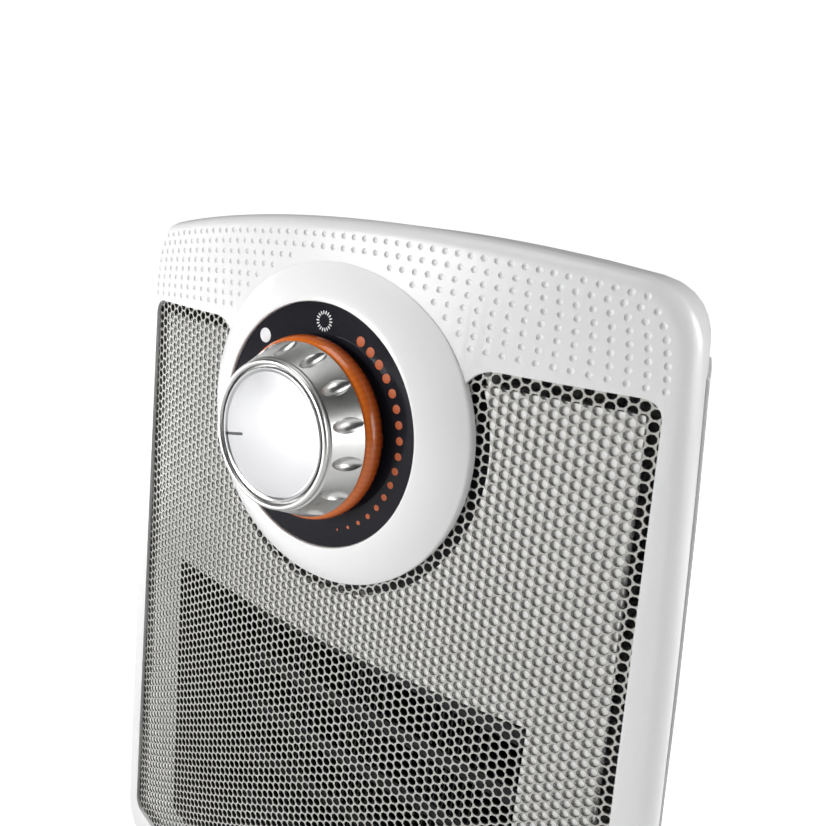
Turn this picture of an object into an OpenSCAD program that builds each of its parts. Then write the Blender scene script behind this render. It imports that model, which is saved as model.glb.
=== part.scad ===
// Upright ceramic fan heater with a curved perforated front and one large rotary thermostat knob.
// Front faces -Y, up is +Z, and the origin is on the floor below the middle of the bounding box.

/* [Housing] */
// Height of the crown of the housing above the floor
total_h = 253; // [243:1:275]
// Depth from the knob's face to the back of the intake grille
total_d = 132; // [128:1:150]
// Width of the housing at the top corners
top_w = 176; // [168:1:184]
// Width of the housing at the bottom corners
foot_w = 204; // [196:1:214]
// How far the sides bow out between the corners
side_bow = 2; // [0:0.5:3]
// Radius of the arched top edge
crown_r = 495; // [420:5:1200]
// Radius of the top corners
corner_r = 16.5; // [12:0.5:24]
// Radius of the bottom corners
foot_corner_r = 12; // [8:1:18]
// Radius of the bulging front, seen from above
front_r = 394; // [340:2:600]
// Rounding between the front face and the sides
edge_r = 4; // [3:0.5:6]
// Wall thickness of the two housing shells
wall = 2.5; // [2:0.1:3]
// Share of the depth that the rear shell takes
shell_share = 0.614; // [0.58:0.002:0.64]
// Angle by which each side draws in towards the back
side_draft = 10.5; // [6:0.5:12]
// How far the rails on the rear shell's sides stand proud
rail_proud = 0.8; // [0.5:0.1:1.5]
// Height of the housing's underside above the floor
ground_gap = 8; // [7:0.5:12]

/* [Window and grille] */
// Distance from the housing's side to the top corner of the grille window
window_border = 5.5; // [5:0.1:8]
// Distance from the housing's side to the bottom corner of the grille window
window_border_low = 10; // [8:0.5:14]
// Height of the window's top edge above the knob's centre
window_rise = 22.8; // [18:0.1:28]
// Height of the window's bottom edge above the housing's underside
window_sill = 14; // [10:0.5:24]
// Corner radius of the window
window_r = 4.5; // [2:0.5:8]
// Radius where the window's top edge runs into the disc behind the dial
window_fillet = 9; // [5:0.5:11]
// Sheet thickness of the grille
mesh_t = 0.6; // [0.5:0.1:1]
// Distance between the grille's holes in the drawn pattern
mesh_pitch = 10.8; // [9:0.3:14]
// Width of the web left between two holes
mesh_web = 2.8; // [2:0.1:4]
// Overlap of the grille behind the window's edge
mesh_lap = 2.4; // [1.5:0.1:3]

/* [Outlet] */
// Width of the warm-air outlet
outlet_w = 143; // [120:1:150]
// Height of the warm-air outlet
outlet_h = 98; // [84:1:104]
// Height of the outlet's middle as a share of the knob's height
outlet_share = 0.435; // [0.42:0.005:0.45]
// Space between the grille and the outlet frame
frame_gap = 1; // [0.6:0.2:4]
// Thickness of the outlet frame's walls
frame_t = 2; // [1.5:0.1:2.5]
// How far the outlet frame stops short of the window's sides
frame_short = 4.5; // [3:0.5:7]

/* [Dial and knob] */
// Distance from the crown of the housing down to the knob's centre
dial_drop = 53; // [49:1:57]
// Radius of the dark dial plate
dial_r = 32; // [29:0.5:34]
// Outer radius of the dial bezel
bezel_r = 43.9; // [41:0.1:46]
// How far the dial plate stands in front of the housing's face
dial_proud = 4.1; // [3.5:0.1:5]
// Height of the knob's face above the dial plate
knob_h = 16.1; // [14.5:0.1:18]
// Radius of the knob's face rim
knob_face_r = 18.6; // [17:0.1:20]
// Radius of the knob's skirt at its base
knob_base_r = 22.3; // [21:0.1:23]
// Outer radius of the amber ring behind the knob
ring_r = 23.8; // [23.5:0.1:25]
// Number of finger scallops round the knob
scallop_count = 14; // [10:1:18]
// Depth of a scallop
scallop_depth = 1; // [0.5:0.1:1.3]
// Radius of the thermostat's shaft
shaft_r = 3; // [2.5:0.1:3.2]

/* [Fan and motor] */
// Diameter of the fan
fan_d = 100; // [86:1:102]
// Number of fan blades
blade_count = 7; // [5:1:9]
// Pitch of the blades at the hub
blade_pitch = 38; // [25:1:48]
// Radius of the fan's hub
hub_r = 17; // [14:0.5:20]
// Length of the fan's hub along its axis
hub_l = 17; // [14:0.5:18]
// Radius of the motor's can
motor_r = 21; // [19:0.5:24]
// Length of the motor's can
motor_l = 25; // [22:0.5:27]
// Radius of the motor's shaft
motor_shaft_r = 2; // [1.5:0.1:2.5]

/* [Heating element] */
// Depth of the heating element along the airflow
heater_d = 15; // [12:0.5:16]
// Number of ceramic heating bars
bar_count = 4; // [3:1:5]
// Thickness of a heating bar
bar_t = 5; // [4:0.5:6]
// Distance between the folds of the aluminium fins
fin_pitch = 3.2; // [3:0.1:5]
// Thickness of the fins
fin_t = 0.5; // [0.4:0.1:0.8]

/* [Small parts] */
// Radius of the rubber feet
foot_r = 8; // [6:0.5:10]
// Radius of the passage for the mains lead
cord_r = 3.7; // [3.2:0.1:4.2]
// Radius of the screws' shanks
screw_r = 1.5; // [1.2:0.1:1.6]
// Radius of the round air intake at the back
intake_r = 55; // [52:0.5:58]

/* [Hidden] */
$fn = 96;
seat = 0.3;             // clearance where one piece sits beside another
running = 0.04;         // radial clearance of a shaft in its bearing
eps = 0.01;

back_y = total_d / 2;
grille_t = 3;           // thickness of the intake grille's flange
shell_back_y = back_y - grille_t;
shell_d = total_d * shell_share;
split_y = shell_back_y - shell_d;
dial_z = total_h - dial_drop;
dial_y = knob_h - total_d / 2;
front_y = dial_y + dial_proud;

// Housing outline, inset by d with corner radius r and its underside lifted by lift
function top_side(d) = top_w / 2 - d;
function foot_side(d) = foot_w / 2 - d;
function corner_x(d, r) = top_side(d) - r;
function corner_z(d, r) = total_h - crown_r
    + sqrt(pow(crown_r - d - r, 2) - pow(corner_x(d, r), 2));
function side_lean(d, r, fr, lift) = atan2(foot_side(d) - top_side(d),
    corner_z(d, r) - (ground_gap + lift + fr));
function arc(cx, cz, r, from, to, n) = [for (i = [0:n])
    let (a = from + (to - from) * i / n) [cx + r * cos(a), cz + r * sin(a)]];
function side_points(p, q, n) = [for (i = [1:n - 1])
    let (t = i / n) [p[0] + (q[0] - p[0]) * t + side_bow * 4 * t * (1 - t), p[1] + (q[1] - p[1]) * t]];
function half_outline(d, r, fr, lift) =
    let (lean = side_lean(d, r, fr, lift),
        cx = corner_x(d, r),
        cz = corner_z(d, r),
        crown_z = total_h - crown_r,
        turn = atan2(cz - crown_z, cx),
        base = [for (i = [1:4]) [(foot_side(d) - fr) * i / 5, ground_gap + lift]],
        low = arc(foot_side(d) - fr, ground_gap + lift + fr, fr, -90, lean, 4),
        high = arc(cx, cz, r, lean, turn, 6),
        crown = [for (i = [1:4]) let (a = turn + (90 - turn) * i / 5)
            [(crown_r - d) * cos(a), crown_z + (crown_r - d) * sin(a)]])
    concat(base, low, side_points(low[4], high[0], 5), high, crown);
function mirrored(pts) = [for (i = [len(pts) - 1:-1:0]) [-pts[i][0], pts[i][1]]];
function outline(d, r, fr, lift) = let (half = half_outline(d, r, fr, lift))
    concat(half, [[0, total_h - d]], mirrored(half), [[0, ground_gap + lift]]);

// Surfaces stacked through rings of equal point counts, front ring first
mid_z = (total_h + ground_gap) / 2;
module loft(rings) {
    n = len(rings[0]);
    m = len(rings);
    middles = [for (ring = [rings[0], rings[m - 1]]) [0, ring[n - 1][1], mid_z]];
    points = concat([for (ring = rings) each ring], middles);
    walls = [for (i = [0:m - 2]) for (j = [0:n - 1]) let (k = (j + 1) % n)
        each [[i * n + j, i * n + k, (i + 1) * n + k], [i * n + j, (i + 1) * n + k, (i + 1) * n + j]]];
    front = [for (j = [0:n - 1]) [m * n, (j + 1) % n, j]];
    back = [for (j = [0:n - 1]) [m * n + 1, (m - 1) * n + j, (m - 1) * n + (j + 1) % n]];
    polyhedron(points, concat(front, walls, back), convexity = 6);
}
function level_ring(y, pts) = [for (p = pts) [p[0], y, p[1]]];
side_start_y = front_y + bulge(top_w / 2, front_r) + edge_r;
function side_scale(y) = 1 - max(y - side_start_y, 0) * tan(side_draft) / (top_w / 2);
function tapered_ring(y, pts) = [for (p = pts) [p[0] * side_scale(y), y, p[1]]];

// The bulging front: a shape in x and z, pushed along y, and the space behind a bulged surface
function bulge(x, r) = r - sqrt(r * r - x * x);
module pushed(y0, y1) {
    translate([0, y1, 0]) rotate([90, 0, 0]) linear_extrude(y1 - y0) children();
}
module behind_bulge(depth) {
    translate([0, front_y + front_r, -1]) cylinder(r = front_r - depth, h = total_h + 50, $fn = 200);
}
module bulged_sheet(depth, t) {
    intersection() {
        difference() {
            behind_bulge(depth);
            behind_bulge(depth + t);
        }
        pushed(front_y - 5, front_y + bulge(foot_w / 2, front_r) + 20) children();
    }
}

// Grille window
window_top_z = dial_z + window_rise;
window_bottom_z = ground_gap + window_sill;
shoulder_z = corner_z(0, corner_r);
ankle_z = ground_gap + foot_corner_r;
function side_at(z) = let (t = (shoulder_z - z) / (shoulder_z - ankle_z))
    top_w / 2 + (foot_w - top_w) / 2 * t + side_bow * 4 * t * (1 - t);
window_half_high = side_at(window_top_z) - window_border;
window_half_low = side_at(window_bottom_z) - window_border_low;
window_lean = atan2(window_half_low - window_half_high, window_top_z - window_bottom_z);
function window_half(z) = window_half_high + (window_top_z - z) * tan(window_lean);
module window_shape(grow) {
    high = window_top_z + grow;
    low = window_bottom_z - grow;
    r = max(window_r + grow, 0.5);
    right = concat(arc(window_half(low) + grow - r, low + r, r, -90, window_lean, 4),
        arc(window_half(high) + grow - r, high - r, r, window_lean, 90, 4));
    polygon(concat(right, mirrored(right)));
}
island_r = bezel_r - 3.9;       // panel disc that carries the dial
module around_dial(r) {
    translate([0, dial_z]) circle(r = r);
}
module island_shape(grow) {
    rise = window_rise - window_fillet;
    x = sqrt(pow(island_r + window_fillet, 2) - pow(rise, 2));
    meet = 177 + atan2(rise, x);
    curve = arc(x, dial_z + rise, window_fillet - grow, 90, meet, 8);
    around_dial(island_r + grow);
    for (side = [-1, 1]) polygon([for (p = concat([[0, dial_z], [0, window_top_z + 1],
        [x, window_top_z + 1]], curve)) [side * p[0], p[1]]]);
}

// Local frame of the dial: +Z out of the dial towards the user, +Y up
module on_dial() {
    translate([0, dial_y, dial_z]) rotate([90, 0, 0]) children();
}
nut_af = 14;
bushing_r = 4.9;
bushing_fit = 0.2;

// Layout of the inner pieces along y
mesh_depth = wall + 0.1;
frame_depth = mesh_depth + mesh_t + frame_gap;
heater_y = split_y + 2;
shroud_y = heater_y + heater_d;
fan_y = shroud_y + 5;
motor_y = fan_y + hub_l + 6;
fan_z = dial_z * outlet_share;
box_w = outlet_w + 2 * frame_t;
box_h = outlet_h + 2 * frame_t;
shroud_flange_t = 2.5;
shroud_bolt_x = box_w / 2 - 9.5;
shroud_bolt_z = box_h / 2 + 7;
tip_gap = 2;
shroud_ring_r = fan_d / 2 + tip_gap;

// Screw posts that join the two shells
post_r = 5;
well_r = 3.8;
boss_r = post_r - 0.8;
post_low = [foot_side(0) - 40, window_bottom_z - mesh_lap - boss_r - seat];
post_high = [top_side(0) - 42, window_top_z + mesh_lap + boss_r + seat];
well_y = split_y + 22;
module at_posts() {
    for (side = [-1, 1])
        for (p = [post_low, post_high])
            translate([side * p[0], 0, p[1]]) children();
}
module rod_y(y0, y1, r) {
    translate([0, y1, 0]) rotate([90, 0, 0]) cylinder(r = r, h = y1 - y0);
}

// Front shell
edge_steps = 4;
cap_steps = [0.82, 0.62, 0.4, 0.18];
function edge_ring(a) = [for (p = outline(edge_r * (1 - cos(a)), corner_r - edge_r * (1 - cos(a)),
        foot_corner_r - edge_r * (1 - cos(a)), edge_r * (1 - cos(a))))
    [p[0], front_y + bulge(p[0], front_r) + edge_r * (1 - sin(a)), p[1]]];
function cap_ring(s) = [for (p = outline(edge_r, corner_r - edge_r, foot_corner_r - edge_r, edge_r))
    [p[0] * s, front_y + bulge(p[0] * s, front_r), mid_z + (p[1] - mid_z) * s]];
module front_panel() {
    boss_y0 = front_y + bulge(top_w / 2, front_r);
    inside = outline(wall, corner_r - wall, foot_corner_r - wall, wall);
    color("whitesmoke") union() {
        difference() {
            loft(concat([for (i = [len(cap_steps) - 1:-1:0]) cap_ring(cap_steps[i])],
                [for (i = [edge_steps:-1:0]) edge_ring(90 * i / edge_steps)],
                [tapered_ring(split_y, outline(0, corner_r, foot_corner_r, 0))]));
            intersection() {
                behind_bulge(wall);
                loft([level_ring(front_y - 5, inside),
                    [for (p = inside) [p[0], front_y + bulge(p[0], front_r) + edge_r, p[1]]],
                    tapered_ring(split_y + 1, inside)]);
            }
            pushed(front_y - 5, split_y) difference() {
                window_shape(0);
                island_shape(0);
            }
            on_dial() translate([0, 0, -20]) cylinder(r = bushing_r + bushing_fit, h = 30);
        }
        difference() {
            intersection() {
                at_posts() rod_y(boss_y0 - 20, split_y, boss_r);
                behind_bulge(wall - 0.2);
            }
            at_posts() rod_y(split_y - 14, split_y + 1, screw_r + 0.1);
        }
    }
}

// Perforated sheet behind the window
module front_mesh() {
    hole_r = (mesh_pitch - mesh_web) / 2 / cos(30);
    row = mesh_pitch * cos(30);
    cols = floor(foot_w / 2 / row);
    rows = ceil((window_top_z - window_bottom_z) / mesh_pitch / 2) + 1;
    window_mid = (window_top_z + window_bottom_z) / 2;
    color("darkgray") difference() {
        bulged_sheet(mesh_depth, mesh_t) difference() {
            window_shape(mesh_lap);
            around_dial(island_r - 6);
        }
        pushed(front_y - 5, split_y) intersection() {
            difference() {
                window_shape(-1);
                around_dial(bezel_r + 1);
            }
            for (i = [-cols:cols])
                for (j = [-rows:rows])
                    translate([i * row, window_mid + (j + (abs(i) % 2) / 2) * mesh_pitch])
                        circle(r = hole_r, $fn = 6);
        }
    }
}

// White frame with the outlet opening and its duct
module outlet_opening() {
    translate([0, fan_z]) square([outlet_w, outlet_h], center = true);
}
frame_hole_r = bezel_r + 2.6;
module outlet_frame() {
    tab_z = [window_bottom_z + 30, fan_z, fan_z + outlet_h / 2];
    color("white") union() {
        bulged_sheet(frame_depth, 1.5) difference() {
            window_shape(-frame_short);
            around_dial(frame_hole_r);
            outlet_opening();
        }
        intersection() {
            behind_bulge(frame_depth);
            pushed(front_y, heater_y) difference() {
                translate([0, fan_z]) square([box_w, box_h], center = true);
                outlet_opening();
            }
        }
        intersection() {
            difference() {
                behind_bulge(mesh_depth + mesh_t + 0.1);
                behind_bulge(frame_depth + 1.5);
            }
            pushed(front_y, split_y) for (side = [-1, 1])
                for (z = tab_z) translate([side * (window_half(z) - frame_short + 3), z])
                    square([8, 10], center = true);
        }
    }
}

// White ring round the dial, cut to sit on the bulging front
lip_h = 0.8;
dial_floor = 1.3;
module dial_bezel() {
    crest = dial_r + 2.4;
    rim_z = -5;
    color("white") union() {
        difference() {
            on_dial() rotate_extrude() polygon(concat([[bushing_r + 0.6, -12], [bushing_r + 0.6, -dial_floor],
                [dial_r, -dial_floor], [dial_r, lip_h - 0.5], [dial_r + 0.8, lip_h]],
                [for (i = [0:6]) let (a = 90 * i / 6)
                    [crest + (bezel_r - crest) * sin(a), lip_h - (lip_h - rim_z) * (1 - cos(a))]],
                [[bezel_r, -12]]));
            behind_bulge(-0.15);
        }
        intersection() {
            difference() {
                pushed(dial_y, split_y) difference() {
                    around_dial(bezel_r);
                    island_shape(seat);
                }
                behind_bulge(mesh_depth - seat);
            }
            pushed(dial_y, split_y) window_shape(-seat);
            on_dial() translate([0, 0, -20]) cylinder(r = bezel_r, h = 20 + rim_z + 0.4);
        }
    }
}
module dial_plate() {
    color("#17171d") on_dial() difference() {
        translate([0, 0, -dial_floor + 0.05]) cylinder(r = dial_r - 0.15, h = dial_floor - 0.05);
        translate([0, 0, -5]) cylinder(r = bushing_r + bushing_fit, h = 10);
    }
}

// Tapering rear shell with its intake opening, hand grip and screw wells
function shell_ring(t, inset, wall_in) = tapered_ring(split_y + t * (shell_d - wall_in),
    outline(inset + wall_in, max(corner_r - inset * 0.3 - wall_in, 6),
        max(foot_corner_r - wall_in, 5), max(inset - 8, 0) * 0.5 + wall_in));
shell_profile = [[0, 0], [0.12, 0.3], [0.35, 1.4], [0.6, 3], [0.8, 4.8], [0.93, 6.8], [0.98, 8.4], [1, 10.5]];
rail_l = 46;
rail_low = ankle_z + 10;
rail_top = window_top_z + 3;
rail_inner = top_w / 2 - 30;
module side_rails() {
    slope_x = side_at(window_top_z) * side_scale(split_y);
    intersection() {
        loft([for (i = [0:4]) shell_ring(shell_profile[i][0], shell_profile[i][1] - rail_proud, 0)]);
        pushed(split_y + 0.5, split_y + rail_l) for (side = [-1, 1])
            polygon([[side * rail_inner, rail_low], [side * foot_w, rail_low],
                [side * foot_w, rail_top - foot_w + slope_x], [side * slope_x, rail_top],
                [side * rail_inner, rail_top]]);
    }
}
grip_w = 84;
grip_h = 22;
grip_d = 26;
grip_z = total_h - 46;
gland_x = 52;
gland_z = ankle_z + 10;
module grip_shape(grow) {
    translate([0, grip_z]) for (side = [-1, 1])
        translate([side * (grip_w / 2 - grip_h / 2), 0]) circle(r = grip_h / 2 + grow);
    translate([0, grip_z]) square([grip_w - grip_h, grip_h + 2 * grow], center = true);
}
module rear_shell() {
    color("whitesmoke") difference() {
        union() {
            difference() {
                union() {
                    loft([for (s = shell_profile) shell_ring(s[0], s[1], 0)]);
                    side_rails();
                }
                translate([0, -eps, 0]) loft([for (s = shell_profile) shell_ring(s[0], s[1], wall)]);
            }
            at_posts() rod_y(split_y + 0.2, shell_back_y - wall / 2, post_r);
            pushed(shell_back_y - grip_d, shell_back_y - wall / 2) grip_shape(2);
            for (side = [-1, 1]) for (dz = [-1, 1])
                translate([side * shroud_bolt_x, 0, fan_z + dz * shroud_bolt_z])
                    rod_y(shroud_y + shroud_flange_t, shell_back_y - wall / 2, 3.6);
            difference() {
                pushed(shell_back_y - 12, shell_back_y - wall / 2)
                    translate([0, fan_z]) circle(r = intake_r + 2);
                pushed(shell_back_y - 20, back_y) translate([0, fan_z]) circle(r = intake_r);
            }
        }
        at_posts() rod_y(well_y, back_y, well_r);
        at_posts() rod_y(split_y - 1, well_y + 1, screw_r + 0.15);
        pushed(shell_back_y - grip_d + 2, back_y) grip_shape(0);
        for (side = [-1, 1]) for (dz = [-1, 1])
            translate([side * shroud_bolt_x, 0, fan_z + dz * shroud_bolt_z])
                rod_y(shroud_y - 1, shroud_y + 14, screw_r + 0.1);
        translate([0, 0, fan_z]) rod_y(shell_back_y - 8, back_y + 1, intake_r - 2);
        translate([gland_x, 0, gland_z]) rod_y(shell_back_y - 10, back_y, cord_r + 2.7);
    }
}

// Round intake grille snapped into the back
module rear_grille() {
    ring_step = 6.2;
    ring_w = 1.8;
    spoke_w = 2.2;
    hub_disc_r = 8;
    rim_inner = intake_r - 4;
    snap_r = intake_r - 2.3;
    color("whitesmoke") translate([0, shell_back_y, fan_z]) rotate([-90, 0, 0]) union() {
        rotate_extrude() polygon([[rim_inner, -6], [snap_r, -6], [snap_r, 0], [intake_r + 3, 0],
            [intake_r + 3, grille_t - 0.6], [intake_r + 2.4, grille_t], [rim_inner, grille_t]]);
        translate([0, 0, 0.2]) cylinder(r = hub_disc_r, h = grille_t - 0.4);
        for (r = [hub_disc_r + ring_step:ring_step:rim_inner - 1]) translate([0, 0, 0.7])
            difference() {
                cylinder(r = r, h = 1.5);
                translate([0, 0, -1]) cylinder(r = r - ring_w, h = 4);
            }
        for (a = [0:45:315]) rotate(a + 22.5)
            translate([hub_disc_r - 2, -spoke_w / 2, 0.4]) cube([rim_inner - hub_disc_r + 3, spoke_w, 2.2]);
    }
}

// Base plate and feet
base_t = 3.6;
base_front = front_y + 9;
base_back = shell_back_y - 8;
base_w = foot_w - 60;
base_r = 16;
foot_top = ground_gap - base_t + 1;
peg_r = 2.1;
module base_outline(grow) {
    for (x = [-1, 1]) for (y = [base_front + base_r, base_back - base_r])
        translate([x * (base_w / 2 - base_r), y]) circle(r = base_r + grow);
    translate([0, (base_front + base_back) / 2]) {
        square([base_w - 2 * base_r, base_back - base_front + 2 * grow], center = true);
        square([base_w + 2 * grow, base_back - base_front - 2 * base_r], center = true);
    }
}
module at_feet() {
    for (x = [-1, 1]) for (y = [base_front + base_r, base_back - base_r])
        translate([x * (base_w / 2 - base_r), y, 0]) children();
}
module base_plate() {
    color("gainsboro") difference() {
        translate([0, 0, ground_gap - base_t]) linear_extrude(base_t) base_outline(0);
        at_feet() cylinder(r = foot_r + 0.1, h = foot_top);
        at_feet() cylinder(r = peg_r + 0.1, h = ground_gap + 1);
    }
}
module rubber_feet() {
    color("#222222") at_feet() {
        cylinder(r1 = foot_r - 1, r2 = foot_r, h = 1);
        translate([0, 0, 1]) cylinder(r = foot_r, h = foot_top - 1);
        cylinder(r = peg_r, h = ground_gap - 0.1);
    }
}

// Heating element: end frames, ceramic bars and folded fins
bar_pitch = outlet_h / (bar_count + 1);
end_w = 9;
core_w = outlet_w - 2 * end_w;
module bar_rows() {
    for (i = [1:bar_count]) translate([0, heater_y, fan_z - outlet_h / 2 + i * bar_pitch]) children();
}
module heater_frame() {
    rail_t = 2.4;
    color("#2b2b2b") difference() {
        translate([-box_w / 2, heater_y, fan_z - box_h / 2]) cube([box_w, heater_d, box_h]);
        translate([-core_w / 2, heater_y - 1, fan_z - outlet_h / 2 + rail_t])
            cube([core_w, heater_d + 2, outlet_h - 2 * rail_t]);
        bar_rows() translate([-core_w / 2 - 6, 0.8, -bar_t / 2 - 0.1])
            cube([core_w + 12, heater_d - 1.6, bar_t + 0.2]);
    }
}
module ptc_bars() {
    color("silver") bar_rows() translate([-core_w / 2 - 5.8, 1, -bar_t / 2])
        cube([core_w + 11.6, heater_d - 2, bar_t]);
}
module ptc_fins() {
    rail_t = 2.4;
    count = floor((core_w - 2) / fin_pitch);
    color("lightgray") for (i = [0:bar_count]) {
        low = fan_z - outlet_h / 2 + i * bar_pitch + (i == 0 ? rail_t + 0.1 : bar_t / 2);
        high = fan_z - outlet_h / 2 + (i + 1) * bar_pitch - (i == bar_count ? rail_t + 0.1 : bar_t / 2);
        for (k = [0:count]) translate([(k - count / 2) * fin_pitch - fin_t / 2, heater_y + 1.5, low])
            cube([fin_t, heater_d - 3, high - low]);
        for (k = [0:count - 1])
            translate([(k - count / 2) * fin_pitch, heater_y + 1.5, k % 2 == 0 ? low : high - fin_t])
                cube([fin_pitch, heater_d - 3, fin_t]);
    }
}
terminal_z = fan_z + outlet_h / 2 + frame_t;
module heater_terminals() {
    color("tan") for (x = [-24, -8, 8]) translate([x - 3.2, heater_y + heater_d / 2 - 0.4, terminal_z])
        cube([6.4, 0.8, 9]);
}
module thermal_cutout() {
    disc_x = 34;
    color("dimgray") union() {
        translate([disc_x, heater_y + heater_d / 2, terminal_z + 1.5]) cylinder(r = 8, h = 5);
        translate([disc_x, heater_y + heater_d / 2, terminal_z + 6.4]) cylinder(r = 6.5, h = 3);
        translate([disc_x - 12, heater_y + heater_d / 2 - 3, terminal_z]) cube([24, 6, 1.5]);
        for (dx = [-4, 4]) translate([disc_x + dx - 3, heater_y + heater_d / 2 - 0.4, terminal_z + 9])
            cube([6, 0.8, 6]);
    }
}

// Shroud with the motor's three arms
lug_r = 5;
arm_y = motor_y + motor_l - 4;
motor_bolt_r = motor_r + 4;
module shroud_bolts() {
    for (side = [-1, 1]) for (dz = [-1, 1])
        translate([side * shroud_bolt_x, 0, fan_z + dz * shroud_bolt_z]) children();
}
module motor_bolts() {
    for (a = [90, 210, 330]) translate([motor_bolt_r * cos(a), 0, fan_z + motor_bolt_r * sin(a)]) children();
}
module fan_shroud() {
    ring_l = motor_y - shroud_y + 2;
    color("#3a3a3c") difference() {
        union() {
            translate([-box_w / 2, shroud_y, fan_z - box_h / 2]) cube([box_w, shroud_flange_t, box_h]);
            shroud_bolts() rod_y(shroud_y, shroud_y + shroud_flange_t, lug_r);
            for (side = [-1, 1]) translate([side * shroud_bolt_x - lug_r, shroud_y, fan_z - shroud_bolt_z])
                cube([2 * lug_r, shroud_flange_t, 2 * shroud_bolt_z]);
            translate([0, 0, fan_z]) rod_y(shroud_y, shroud_y + ring_l, shroud_ring_r + 2);
            for (a = [90, 210, 330]) translate([0, 0, fan_z]) rotate([0, 90 - a, 0]) {
                translate([-5, shroud_y + ring_l - 6, shroud_ring_r + 0.2])
                    cube([10, arm_y + 3 - (shroud_y + ring_l - 6), 2.4]);
                translate([-4, arm_y, motor_r + 0.5]) cube([8, 3, shroud_ring_r + 2.6 - motor_r - 0.5]);
            }
            motor_bolts() rod_y(arm_y, arm_y + 3, 4.4);
        }
        translate([0, 0, fan_z]) rod_y(shroud_y - 1, shroud_y + ring_l + 1, shroud_ring_r);
        shroud_bolts() rod_y(shroud_y - 1, shroud_y + 5, screw_r + 0.1);
        motor_bolts() rod_y(arm_y - 1, arm_y + 5, screw_r + 0.1);
        translate([0, 0, fan_z]) rod_y(arm_y - 1, arm_y + 5, motor_r + 0.4);
    }
}

// Motor
can_t = 1.6;
bearing_r = 4.5;
bearing_l = 4;
module on_fan_axis() {
    translate([0, 0, fan_z]) children();
}
module motor_can() {
    color("#8c8f94") difference() {
        union() {
            on_fan_axis() rod_y(motor_y, motor_y + motor_l, motor_r);
            on_fan_axis() rod_y(motor_y - 2, motor_y + 1, bearing_r + 2.5);
            motor_bolts() rod_y(arm_y - 2, arm_y, 4);
            on_fan_axis() for (a = [90, 210, 330]) rotate([0, 90 - a, 0])
                translate([-3, arm_y - 1.9, motor_r - 1]) cube([6, 1.8, 5]);
        }
        on_fan_axis() rod_y(motor_y + can_t + 2.4, motor_y + motor_l - can_t - 2.4, motor_r - can_t);
        on_fan_axis() rod_y(motor_y - 3, motor_y + motor_l + 1, motor_shaft_r + 0.6);
        on_fan_axis() rod_y(motor_y + can_t - 0.6, motor_y + can_t + 3, bearing_r + 0.03);
        on_fan_axis() rod_y(motor_y + motor_l - can_t - 3, motor_y + motor_l - can_t + 0.6, bearing_r + 0.03);
        motor_bolts() rod_y(arm_y - 4, arm_y + 1, screw_r + 0.1);
    }
}
module motor_bearings() {
    color("goldenrod") on_fan_axis() difference() {
        union() {
            rod_y(motor_y + 1, motor_y + 1 + bearing_l, bearing_r);
            rod_y(motor_y + motor_l - 1 - bearing_l, motor_y + motor_l - 1, bearing_r);
        }
        rod_y(motor_y - 1, motor_y + motor_l + 1, motor_shaft_r + running);
    }
}
core_y0 = motor_y + 7;
core_y1 = motor_y + motor_l - 7;
rotor_r = 10.5;
module motor_stator() {
    color("#b87333") on_fan_axis() difference() {
        rod_y(core_y0, core_y1, motor_r - can_t - 0.1);
        rod_y(core_y0 - 1, core_y1 + 1, rotor_r + 0.5);
        for (a = [0:60:300]) rotate([0, a, 0]) translate([0, core_y0 - 1, rotor_r + 4.4])
            rotate([-90, 0, 0]) cylinder(r = 2, h = core_y1 - core_y0 + 2);
    }
}
module motor_rotor() {
    color("gray") on_fan_axis() difference() {
        rod_y(core_y0 + 0.5, core_y1 - 0.5, rotor_r);
        rod_y(core_y0 - 1, core_y1 + 1, motor_shaft_r + 0.01);
    }
}
shaft_tip_y = fan_y - 3;
module motor_shaft() {
    color("silver") on_fan_axis() difference() {
        rod_y(shaft_tip_y, motor_y + motor_l - 0.8, motor_shaft_r);
        difference() {
            rod_y(fan_y - 1.6, fan_y - 0.8, motor_shaft_r + 1);
            rod_y(fan_y - 2, fan_y, motor_shaft_r - 0.5);
        }
    }
}
module impeller_clip() {
    color("dimgray") on_fan_axis() difference() {
        rod_y(fan_y - 1.5, fan_y - 0.9, motor_shaft_r + 2);
        rod_y(fan_y - 2, fan_y, motor_shaft_r - 0.45);
        translate([-1, fan_y - 3, -8]) cube([2, 4, 8]);
    }
}
module fan_impeller() {
    blade_t = 1.6;
    chord = hub_l / sin(blade_pitch) * 1.05;
    color("#303236") on_fan_axis() difference() {
        union() {
            difference() {
                rod_y(fan_y - 0.5, fan_y + hub_l, hub_r);
                rod_y(fan_y + 2.2, fan_y + hub_l + 1, hub_r - 1.8);
            }
            rod_y(fan_y - 0.5, fan_y + hub_l - 1, motor_shaft_r + 2.6);
            intersection() {
                for (i = [0:blade_count - 1]) rotate([0, i * 360 / blade_count, 0])
                    translate([0, fan_y + hub_l / 2, 0]) rotate([0, 0, 90 - blade_pitch])
                        translate([-blade_t / 2, -chord / 2, hub_r - 1])
                            cube([blade_t, chord, fan_d / 2 - hub_r + 4]);
                difference() {
                    rod_y(fan_y, fan_y + hub_l, fan_d / 2);
                    rod_y(fan_y - 1, fan_y + hub_l + 1, hub_r - 1);
                }
            }
        }
        rod_y(fan_y - 2, fan_y + hub_l + 2, motor_shaft_r + 0.01);
    }
}

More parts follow.
